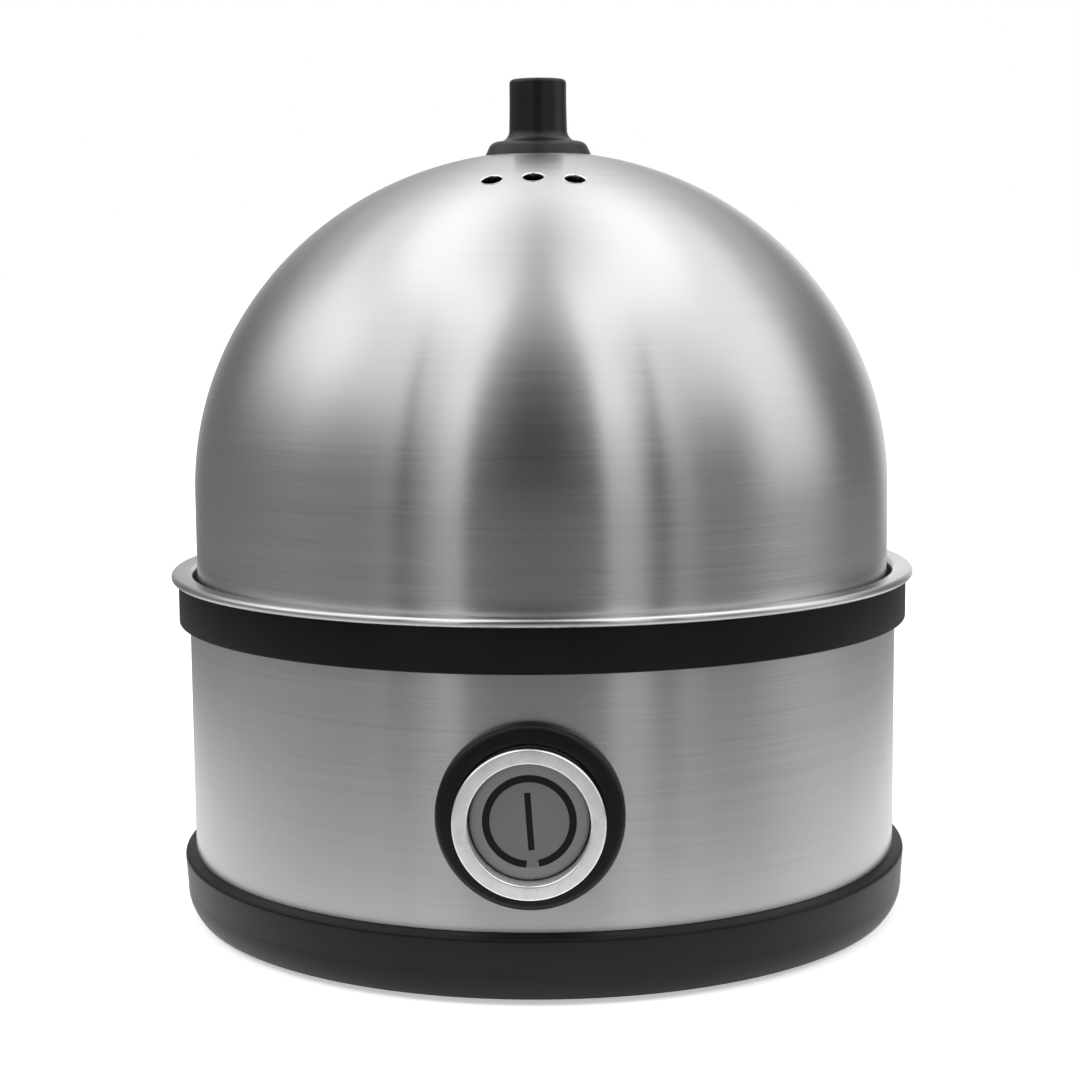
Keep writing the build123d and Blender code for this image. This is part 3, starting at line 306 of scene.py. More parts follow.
def up_the_dome(bench, x, y, z):
    """Arc walked from the shoulder towards the crown, so the strokes stay round at the top."""
    spans = sizes()
    flat = spans.lid_radius / (spans.lid_top - spans.lid_shoulder)
    out = (x * x + y * y) ** 0.5
    return bench.angle((z - spans.lid_shoulder) * flat, out) * spans.lid_radius


def moulded(colour_of, roughness, grain=0.2, gloss=0.5, scale=2600.0):
    """Moulded plastic with the fine grain of a sparked mould."""

    def draw(bench):
        place = bench.place()
        grainy = bench.noise(place, scale, 2.0, 0.7)
        cloud = bench.noise(place, 45.0, 4.0, 0.6)
        colour = colour_of()
        return {
            "Base Color": bench.tint(cloud.ramp(0.3, 0.7), shade(colour, 0.85), shade(colour, 1.2)),
            "Roughness": grainy.ramp(0.2, 0.8, roughness - 0.05, roughness + 0.05)
            + (cloud - 0.5) * 0.08,
            "Specular IOR Level": gloss,
            "Normal": bench.bump(grainy, grain, 0.00003),
        }

    return draw


def plated(colour, roughness, wear=0.1):
    """Bright metal with faint handling marks."""

    def draw(bench):
        speck = 300.0
        place = bench.place()
        cloud = bench.noise(place, speck, 4.0, 0.6)
        marks = bench.noise(place, speck * 7, 2.0, 0.7)
        return {
            "Base Color": bench.tint(cloud.ramp(0.3, 0.7), shade(colour, 0.92), shade(colour, 1.04)),
            "Metallic": 1.0,
            "Roughness": cloud.ramp(0.3, 0.8, roughness * 0.8, roughness * 1.25),
            "Normal": bench.bump(marks, wear, 0.00001),
        }

    return draw


def from_button(bench):
    """Distance from the push button's own axis, and reach in front of the boiler's."""
    x, y, z = bench.parts(bench.place())
    up = z - sizes().button_height
    return (x * x + up * up) ** 0.5, y * -1


def ring_plating(bench):
    """Bright plating, a mirror on the ring's outer wall and milkier on its front."""
    sockets = plated((0.92, 0.92, 0.92), 0.09, wear=0.05)(bench)
    out, reach = from_button(bench)
    wall = out.ramp(15.9 * MM, 16.3 * MM) * reach.ramp(95.9 * MM, 96.5 * MM, 1.0, 0.0)
    sockets["Metallic"] = wall.ramp(0.0, 1.0, 0.74, 1.0)
    return sockets


def satin_cap(bench):
    """Satin push cap, with a painted reflection that makes its colour paler outside the power mark."""
    out, _ = from_button(bench)
    cloud = bench.noise(bench.place(), 60.0, 3.0)
    grain = bench.noise(bench.place(), 2600.0, 2.0, 0.7)
    colour = colours().satin
    return {
        # painted reflection: the base colour brightens outside the power mark's ring
        "Base Color": bench.tint(
            out.ramp(9.8 * MM, 10.4 * MM, 0.0, 0.92) + cloud * 0.1, colour, shade(colour, 1.55)),
        "Roughness": grain.ramp(0.2, 0.8, 0.40, 0.50),
        "Normal": bench.bump(grain, 0.1, 0.00003),
    }


def clear_lens(bench):
    place = bench.place()
    ripple = bench.noise(place, 900.0, 2.0)
    return {
        "Base Color": bench.tint(ripple.ramp(0.3, 0.7), (0.50, 0.02, 0.01), (0.62, 0.03, 0.02)),
        "Roughness": ripple.ramp(0.2, 0.8, 0.08, 0.16),
        "Coat Weight": 0.4,
        "Normal": bench.bump(ripple, 0.1, 0.00002),
    }


FINISHES = {
    "brushed_steel": brushed(up_the_wall),
    "dome_steel": brushed(up_the_dome),
    "pan_steel": brushed(up_the_wall, roughness=0.22, lustre=1.15),
    "black_plastic": moulded(lambda: colours().plastic, 0.42, gloss=0.2),
    "base_plastic": moulded(lambda: colours().base, 0.42, gloss=0.24),
    "bezel_plastic": moulded(lambda: colours().plastic, 0.36, grain=0.12, gloss=0.3),
    "knob_plastic": moulded(lambda: colours().plastic, 0.36, grain=0.12, gloss=0.45),
    "rim_steel": plated((0.90, 0.90, 0.90), 0.25),
    "chrome": ring_plating,
    "cap_satin": satin_cap,
    "mark_dark": moulded(lambda: (0.004, 0.004, 0.004), 0.45, gloss=0.3),
    "rubber": moulded(lambda: (0.008, 0.008, 0.008), 0.75, grain=0.4, gloss=0.3, scale=1500.0),
    "brass": plated((0.72, 0.52, 0.24), 0.28),
    "plated_steel": plated((0.58, 0.59, 0.60), 0.25),
    "aluminium": plated((0.70, 0.71, 0.72), 0.38),
    "element_sheath": plated((0.34, 0.33, 0.32), 0.45),
    "phenolic": moulded(lambda: (0.045, 0.030, 0.022), 0.50),
    "white_nylon": moulded(lambda: (0.62, 0.61, 0.58), 0.48),
    "lamp_lens": clear_lens,
    "wire_brown": moulded(lambda: (0.090, 0.035, 0.015), 0.42),
    "wire_blue": moulded(lambda: (0.015, 0.060, 0.280), 0.42),
    "wire_green": moulded(lambda: (0.060, 0.240, 0.030), 0.42),
}
made_finishes = {}


def finish_named(name):
    if name not in made_finishes:
        made_finishes[name] = finish(name, FINISHES[name])
    return made_finishes[name]


# ---- mesh tools ----------------------------------------------------------------------------------

def outline(corners, closed=True, segments=5):
    """Wire through (out, up, rounding) corners in millimetres, its corners rounded in place."""
    wire = bmesh.new()
    knots = [wire.verts.new((out * MM, 0, up * MM)) for out, up, _ in corners]
    for a, b in zip(knots, knots[1:] + (knots[:1] if closed else [])):
        wire.edges.new((a, b))
    count = len(corners)
    for i, (knot, (out, up, rounding)) in enumerate(zip(knots, corners)):
        if not rounding:
            continue
        here = Vector((out, up))
        arms = [(Vector(corners[(i + k) % count][:2]) - here).normalized() for k in (-1, 1)]
        half = acos(max(-1.0, min(1.0, arms[0].dot(arms[1])))) / 2
        bmesh.ops.bevel(
            wire, geom=[knot], offset=rounding / tan(half) * MM, offset_type="OFFSET",
            affect="VERTICES", segments=segments, profile=0.5, material=-1)
    return wire


def spin(wire, steps=None):
    """Turns the whole wire once about Z and closes it."""
    bmesh.ops.spin(
        wire, geom=wire.verts[:] + wire.edges[:], cent=(0, 0, 0), axis=(0, 0, 1), dvec=(0, 0, 0),
        angle=TURN, steps=steps or sizes().turns, use_merge=True, use_duplicate=False)
    bmesh.ops.remove_doubles(wire, verts=wire.verts[:], dist=1e-7)
    bmesh.ops.recalc_face_normals(wire, faces=wire.faces[:])
    return wire


def lay_level(mesh, height, outward=-1):
    """Lays a piece made about Z along the level axis that points out at the front or the back."""
    bmesh.ops.rotate(
        mesh, verts=mesh.verts[:], cent=(0, 0, 0), matrix=Matrix.Rotation(-outward * pi / 2, 3, "X"))
    bmesh.ops.translate(mesh, verts=mesh.verts[:], vec=(0, 0, height))
    return mesh


def seat_on_band(mesh, *reaches, outward=-1):
    """Moves the rows of a level piece that lie at these reaches in mm onto the round band."""
    for vert in mesh.verts:
        if any(abs(vert.co.y * outward - reach * MM) < 0.01 * MM for reach in reaches):
            vert.co.y = outward * sqrt(sizes().band_radius ** 2 - vert.co.x ** 2)
    return mesh


def gathered(*meshes):
    """One mesh that holds all of these."""
    whole = bmesh.new()
    for mesh in meshes:
        data = bpy.data.meshes.new("part")
        mesh.to_mesh(data)
        mesh.free()
        whole.from_mesh(data)
        bpy.data.meshes.remove(data)
    return whole


def smoothed(made):
    """Shades a piece smooth, but for its creases."""
    made.data.shade_smooth()
    made.data.set_sharp_from_angle(angle=CREASE)
    return made


def piece(name, mesh, body, slot, *nodes, look=None):
    """Turns a finished bmesh into a piece that rides on a body and stands for CAD nodes."""
    data = bpy.data.meshes.new(name)
    mesh.to_mesh(data)
    mesh.free()
    made = bpy.data.objects.new(name, data)
    bpy.context.scene.collection.objects.link(made)
    data.materials.append(finish_named(look or slot))
    smoothed(made)
    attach(made, body)
    if nodes:
        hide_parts(*nodes)
    return made


def cut(made, cutters):
    """Cuts a bmesh of closed shells out of a piece and works the cut into its mesh."""
    data = bpy.data.meshes.new("cutters")
    cutters.to_mesh(data)
    cutters.free()
    knife = bpy.data.objects.new("cutters", data)
    bpy.context.scene.collection.objects.link(knife)
    modifier = made.modifiers.new("Cut", "BOOLEAN")
    modifier.operation, modifier.solver, modifier.object = "DIFFERENCE", "EXACT", knife
    graph = bpy.context.evaluated_depsgraph_get()
    worked = bpy.data.meshes.new_from_object(made.evaluated_get(graph))
    made.modifiers.clear()
    old, made.data = made.data, worked
    bpy.data.objects.remove(knife)
    bpy.data.meshes.remove(data)
    bpy.data.meshes.remove(old)
    return smoothed(made)


# ---- lid -----------------------------------------------------------------------------------------

def dome_rise(out):
    """Height in metres of the dome's outside at a distance from the axis in metres."""
    spans = sizes()
    return spans.lid_shoulder + (spans.lid_top - spans.lid_shoulder) * sqrt(
        1 - (out / spans.lid_radius) ** 2)


def vent_places():
    """Where the vents stand on the dome, each with its own Z along the dome's normal."""
    spans = sizes()
    flatness = ((spans.lid_top - spans.lid_shoulder) / spans.lid_radius) ** 2
    for x in (-spans.vent_pitch, 0.0, spans.vent_pitch):
        rise = dome_rise(hypot(x, spans.vent_row))
        outward = Vector((flatness * x, -flatness * spans.vent_row, rise - spans.lid_shoulder))
        yield (Matrix.Translation((x, -spans.vent_row, rise))
               @ outward.to_track_quat("Z", "Y").to_matrix().to_4x4())


class BOILER_OT_lid(bpy.types.Operator):
    """Spin the steel lid with its rolled hem and steam vents"""

    bl_idname = "boiler.lid"
    bl_label = "Lid"

    def execute(self, context):
        lid = piece("lid_shell", self.shell(), "lid", "brushed_steel", "lid_dome", look="dome_steel")
        cutters = bmesh.new()
        rims = []
        throat = sizes().vent_radius / MM
        hole = (throat + 0.2) * MM
        mouth, edge, foot, lip = throat - 0.1, throat + 0.28, -1.2, 0.06
        for place in vent_places():
            bmesh.ops.create_cone(
                cutters, cap_ends=True, segments=48, radius1=hole, radius2=hole, depth=4 * MM,
                matrix=place)
            rim = outline([(mouth, foot, 0.1), (edge, foot, 0.1), (edge, lip, 0.06), (mouth, lip, 0.3)])
            bmesh.ops.transform(spin(rim, steps=64), matrix=place, verts=rim.verts[:])
            rims.append(rim)
        cut(lid, cutters)
        piece("vent_rims", gathered(*rims), "lid", "brushed_steel", look="rim_steel")
        return {"FINISHED"}

    def shell(self):
        """The spun lid: two arcs, squashed to the dome's height, joined by the wall and its hem."""
        spans = sizes()
        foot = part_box("lid_dome")[0].z
        hem = 2 * spans.lid_hem
        bore = 2.2 * MM
        shell = bmesh.new()
        ends = []
        for inset in (0.0, spans.sheet):
            out = spans.lid_radius - inset
            rise = spans.lid_top - spans.lid_shoulder - inset
            start = shell.verts.new((out, 0, spans.lid_shoulder))
            arc = bmesh.ops.spin(
                shell, geom=[start], cent=(0, 0, spans.lid_shoulder), axis=(0, -1, 0),
                angle=pi / 2 - asin(bore / out), steps=72)
            dome = [v for v in shell.verts if abs(hypot(v.co.x, v.co.z - spans.lid_shoulder) - out) < 1e-6]
            bmesh.ops.scale(
                shell, vec=(1, 1, rise / out), verts=dome,
                space=Matrix.Translation((0, 0, -spans.lid_shoulder)))
            ends.append((start, [g for g in arc["geom_last"] if isinstance(g, bmesh.types.BMVert)][0]))
        shell.edges.new((ends[0][1], ends[1][1]))
        wall = [
            (spans.lid_radius, foot + hem * 2), (spans.lid_radius, foot),
            (spans.lid_radius - hem, foot), (spans.lid_radius - hem, foot + hem),
            (spans.lid_radius - spans.sheet, foot + hem), (spans.lid_radius - spans.sheet, foot + hem * 2),
        ]
        knots = [shell.verts.new((out, 0, up)) for out, up in wall]
        for a, b in zip([ends[0][0]] + knots, knots + [ends[1][0]]):
            shell.edges.new((a, b))
        for knot, share in ((knots[1], 0.96), (knots[2], 0.96), (knots[3], 0.5)):
            bmesh.ops.bevel(
                shell, geom=[knot], offset=spans.lid_hem * share, offset_type="OFFSET",
                affect="VERTICES", segments=5, profile=0.5, material=-1)
        return spin(shell)


class BOILER_OT_knob(bpy.types.Operator):
    """Mould the lid's knob with its flared foot"""

    bl_idname = "boiler.knob"
    bl_label = "Lid knob"

    def execute(self, context):
        top, grip_foot, shoulder, seam = 205.7, 199.7, 190.6, 0.05
        grip, neck, flare = 7.0, 7.2, 11.55
        under = [(out, dome_rise(out * MM) / MM + seam, 0) for out in (13.05, 9.0, 5.0, 0.0)]
        knob = outline(
            [(0, top, 0), (grip, top, 1.0), (grip, grip_foot, 0), (neck, shoulder, 2.7),
             (flare, shoulder, 2.3)] + under,
            closed=False, segments=8)
        piece("knob", spin(knob, steps=128), "lid", "knob_plastic", "lid_knob")
        return {"FINISHED"}


# ---- egg tray ------------------------------------------------------------------------------------

class BOILER_OT_tray_handle(bpy.types.Operator):
    """Mould the handle that the egg tray is lifted by"""

    bl_idname = "boiler.tray_handle"
    bl_label = "Tray handle"

    def execute(self, context):
        low, high = (corner.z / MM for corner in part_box("tray_handle"))
        grip, stem, foot = 13.0, 5.0, 12.5
        handle = outline(
            [(0, high, 0), (grip, high, 2.4), (grip, high - 7.6, 2.4), (stem + 1.3, high - 11.0, 3.0),
             (stem, high - 18.0, 6.0), (stem, low + 9.0, 6.0), (stem + 2.5, low + 3.4, 2.5),
             (foot, low + 2.2, 0.6), (foot, low, 0.3), (0, low, 0)],
            closed=False, segments=6)
        piece("tray_knob", spin(handle, steps=96), "egg_tray", "knob_plastic", "tray_handle")
        return {"FINISHED"}


# ---- pan and housing -----------------------------------------------------------------------------

class BOILER_OT_pan(bpy.types.Operator):
    """Spin the water pan with its ledge and rolled flange"""

    bl_idname = "boiler.pan"
    bl_label = "Water pan"

    def execute(self, context):
        sheet = 0.7
        well, throat, rim = 81.5, 87.2, 92.5
        floor, ledge, top, bead_foot = 63.0, 78.0, 86.0, 84.0
        bead = rim - 1.95
        under = [
            (0, floor - sheet, 0), (well + sheet, floor - sheet, 6.0), (well + sheet, ledge - sheet, 0.5),
            (throat + sheet, ledge - sheet, 0.4), (throat + sheet, top - sheet, 0.7),
            (bead, top - sheet, 0.2), (bead, bead_foot, 0.9), (rim, bead_foot, 0.97)]
        inside = [
            (rim, top, 0.97), (throat, top, 1.5), (throat, ledge, 0.6), (well, ledge, 0.5),
            (well, floor, 5.3), (0, floor, 0)]
        pan = outline(under + inside, closed=False, segments=6)
        piece("pan", spin(pan), "base", "pan_steel", "heating_pan")
        return {"FINISHED"}


class BOILER_OT_collar(bpy.types.Operator):
    """Mould the collar under the pan's flange"""

    bl_idname = "boiler.collar"
    bl_label = "Collar"

    def execute(self, context):
        bore, over_band, outside = 88.0, 88.3, 90.8
        foot, step, top = 73.75, 75.75, 84.2
        collar = outline(
            [(over_band, foot, 0.2), (outside, foot, 0.3), (outside, top, 0.3), (bore, top, 0),
             (bore, step, 0), (over_band, step, 0)])
        piece("collar", spin(collar), "base", "black_plastic", "collar_ring")
        return {"FINISHED"}


class BOILER_OT_feet(bpy.types.Operator):
    """Mould the four rubber feet with their plugs"""

    bl_idname = "boiler.feet"
    bl_label = "Rubber feet"

    def execute(self, context):
        off_axis, sole, dish, neck, barb = 72.0, 7.0, 4.6, 2.1, 3.1
        dish_rise, seat, barb_foot, tip = 0.4, 1.5, 4.0, 7.0
        feet = []
        for corner in range(4):
            foot = spin(outline(
                [(0, dish_rise, 0), (dish, dish_rise, 0.3), (dish + 0.4, 0, 0.2), (sole, 0, 0.4),
                 (sole - 0.2, seat, 0.2), (neck, seat, 0), (neck, barb_foot, 0), (barb, barb_foot, 0.3),
                 (1.4, tip, 0.4), (0, tip, 0)],
                closed=False), steps=48)
            bmesh.ops.translate(foot, verts=foot.verts[:], vec=(off_axis * MM, 0, 0))
            bmesh.ops.rotate(
                foot, verts=foot.verts[:], cent=(0, 0, 0),
                matrix=Matrix.Rotation((corner + 0.5) * pi / 2, 3, "Z"))
            feet.append(foot)
        piece("feet", gathered(*feet), "base", "rubber", "rubber_feet")
        return {"FINISHED"}


class BOILER_OT_gland(bpy.types.Operator):
    """Mould the outlet for the mains cord, with its tapered nose"""

    bl_idname = "boiler.gland"
    bl_label = "Cord outlet"

    def execute(self, context):
        thread, bore, cord, flange = 4.8, 4.0, 3.6, 8.0
        back, seat, throat, face, tip = 78.0, 88.0, 89.2, 90.4, 96.8
        ribs = [
            (6.2, face, 0.5), (5.95, 91.7, 0.2), (5.35, 91.9, 0.2), (5.25, 92.7, 0.2), (5.7, 92.9, 0.2),
            (5.55, 93.9, 0.2), (5.0, 94.1, 0.2), (4.95, 94.8, 0.2), (5.35, 95.0, 0.2), (5.0, tip, 0.5)]
        nose = outline(
            [(thread, seat, 0), (flange, seat, 0), (flange, face, 0.8)] + ribs + [
                (cord, tip, 0.4), (cord, throat, 0), (bore, throat, 0), (bore, back, 0.2),
                (thread, back, 0.2)])
        lay_level(spin(nose, steps=96), sizes().gland_height, outward=1)
        inside, outside, hexagon_back = thread - 0.1, 5.8, 85.0
        hexagon = spin(outline(
            [(inside, hexagon_back, 0), (outside, hexagon_back, 0.1), (outside, throat, 0.1),
             (inside, throat, 0)]), steps=6)
        lay_level(hexagon, sizes().gland_height, outward=1)
        seat_on_band(nose, seat, outward=1)
        piece("cord_outlet", gathered(nose, hexagon), "base", "black_plastic", "cord_gland")
        return {"FINISHED"}


# ---- push button ---------------------------------------------------------------------------------

def power_mark(back, front, grown=0.0):
    """The ring, open at its foot, and the bar inside it, between two reaches in millimetres."""
    inner, outer, half_gap = 8.6 - grown, 10.1 + grown, 1.35 - grown
    bar_width, bar_length, bar_rounding = 1.27, 12.5, 0.2
    gap = asin(half_gap / (inner + outer) * 2)
    ring = outline([(inner, back, 0), (outer, back, 0), (outer, front, 0), (inner, front, 0)])
    bmesh.ops.rotate(
        ring, verts=ring.verts[:], cent=(0, 0, 0), matrix=Matrix.Rotation(gap - pi / 2, 3, "Z"))
    bmesh.ops.spin(
        ring, geom=ring.verts[:] + ring.edges[:], cent=(0, 0, 0), axis=(0, 0, 1), dvec=(0, 0, 0),
        angle=TURN - 2 * gap, steps=120, use_merge=False, use_duplicate=False)
    bmesh.ops.holes_fill(ring, edges=[edge for edge in ring.edges if edge.is_boundary], sides=4)
    bmesh.ops.recalc_face_normals(ring, faces=ring.faces[:])
    bar = bmesh.new()
    span = Vector((bar_width + 2 * grown, bar_length + 2 * grown, front - back)) * MM
    bmesh.ops.create_cube(
        bar, size=1, matrix=Matrix.Translation((0, 0, (front + back) / 2 * MM)) @ Matrix.Diagonal(
            span).to_4x4())
    upright = [edge for edge in bar.edges if abs(edge.verts[0].co.z - edge.verts[1].co.z) > span.z / 2]
    bmesh.ops.bevel(
        bar, geom=upright, offset=bar_rounding * MM, offset_type="OFFSET", affect="EDGES", segments=3,
        profile=0.5, material=-1)
    mark = gathered(ring, bar)
    bmesh.ops.rotate(
        mark, verts=mark.verts[:], cent=(0, 0, 0), matrix=Matrix.Rotation(sizes().mark_tilt, 3, "Z"))
    return lay_level(mark, sizes().button_height)


class BOILER_OT_cap(bpy.types.Operator):
    """Mould the push cap, a little crowned, and let the power mark into it"""

    bl_idname = "boiler.cap"
    bl_label = "Push cap"

    def execute(self, context):
        edge, flange, pocket, stem = 12.95, 15.15, 11.65, 3.0
        face, mark_seat, mark_face, past = 93.2, 92.5, 93.06, 94.2
        pocket_end, flange_front, flange_back, stem_end = 91.0, 86.5, 85.3, 78.0
        crown = [(0, face, 0), (4.0, face - 0.01, 0), (8.0, face - 0.04, 0), (11.3, face - 0.08, 0)]
        cap = outline(
            crown + [
                (edge, face - 0.12, 0.9), (edge, flange_front, 0.2), (flange, flange_front, 0.2),
                (flange, flange_back, 0.2), (pocket, flange_back, 0.2), (pocket, pocket_end, 0.4),
                (stem, pocket_end, 0.4), (stem, stem_end, 0.3), (0, stem_end, 0)],
            closed=False, segments=8)
        lay_level(spin(cap, steps=160), sizes().button_height)
        cap = piece("push_cap", cap, "button", "cap_satin", "button_cap")
        cut(cap, power_mark(mark_seat, past, grown=0.05))
        piece("push_mark", power_mark(mark_seat, mark_face), "button", "mark_dark", "button_light_guide")
        return {"FINISHED"}


class BOILER_OT_spring(bpy.types.Operator):
    """Coil the spring behind the push cap"""

    bl_idname = "boiler.spring"
    bl_label = "Cap spring"

    def execute(self, context):
        seat, back, front = 72.0, 72.5, 90.5
        wire, radius, turns, steps = 0.44, 5.0, 5.6, 224
        coil = bmesh.new()
        bmesh.ops.create_circle(
            coil, cap_ends=False, segments=12, radius=wire * MM,
            matrix=Matrix.Translation((radius * MM, 0, back * MM)) @ Matrix.Rotation(pi / 2, 4, "X"))
        bmesh.ops.spin(
            coil, geom=coil.verts[:] + coil.edges[:], cent=(0, 0, 0), axis=(0, 0, 1),
            dvec=(0, 0, (front - back) / steps * MM), angle=TURN * turns, steps=steps,
            use_merge=False, use_duplicate=False)
        bmesh.ops.holes_fill(coil, edges=[edge for edge in coil.edges if edge.is_boundary], sides=12)
        bmesh.ops.recalc_face_normals(coil, faces=coil.faces[:])
        lay_level(coil, sizes().button_height)
        spring = piece("cap_spring", coil, "base", "plated_steel", "switch_spring")
        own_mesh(spring)
        return {"FINISHED"}


class BOILER_OT_bezel(bpy.types.Operator):
    """Mould the button's bezel and seat it on the curved band"""

    bl_idname = "boiler.bezel"
    bl_label = "Button bezel"

    def execute(self, context):
        outside, mouth, shelf, bore, neck = 20.6, 16.35, 13.2, 16.0, 17.6
        face, shelf_front, shelf_back, neck_end = 90.8, 89.0, 86.8, 72.0
        seat, neck_root = 88.0, 87.2
        bezel = outline(
            [(neck, seat, 0), (outside, seat, 0), (outside, face, 1.5), (mouth, face, 0.35),
             (mouth, shelf_front, 0), (shelf, shelf_front, 0), (shelf, shelf_back, 0),
             (bore, shelf_back, 0), (bore, neck_end, 0), (neck, neck_end, 0), (neck, neck_root, 0)],
            segments=8)
        lay_level(spin(bezel, steps=160), sizes().button_height)
        piece("bezel", seat_on_band(bezel, seat, neck_root), "base", "black_plastic", "button_bezel",
              look="bezel_plastic")
        return {"FINISHED"}


class BOILER_OT_chrome(bpy.types.Operator):
    """Turn the bright ring round the push cap"""

    bl_idname = "boiler.chrome"
    bl_label = "Chrome ring"

    def execute(self, context):
        bore, wall, edge = 13.2, 16.2, 16.5
        back, step, front = 89.0, 94.6, 96.8
        ring = outline(
            [(bore, back, 0), (wall, back, 0), (wall, step - 0.3, 0.2), (edge, step, 0),
             (edge, front, 0.55), (bore, front, 0.5)], segments=8)
        lay_level(spin(ring, steps=160), sizes().button_height)
        piece("ring_bright", ring, "base", "chrome", "chrome_ring")
        return {"FINISHED"}


# ---- carried nodes -------------------------------------------------------------------------------

class BOILER_OT_carried(bpy.types.Operator):
    """Give every CAD node that shows its own finish"""

    bl_idname = "boiler.carried"
    bl_label = "Carried pieces"

    def execute(self, context):
        looks = {part["node"]: part["material_slot"] for part in frame["record"]["subparts"]}
        looks["base_shell"] = "base_plastic"
        for name, node in frame["nodes"].items():
            node.data.materials.clear()
            node.data.materials.append(finish_named(looks[name]))
        return {"FINISHED"}


# ---- stage ---------------------------------------------------------------------------------------

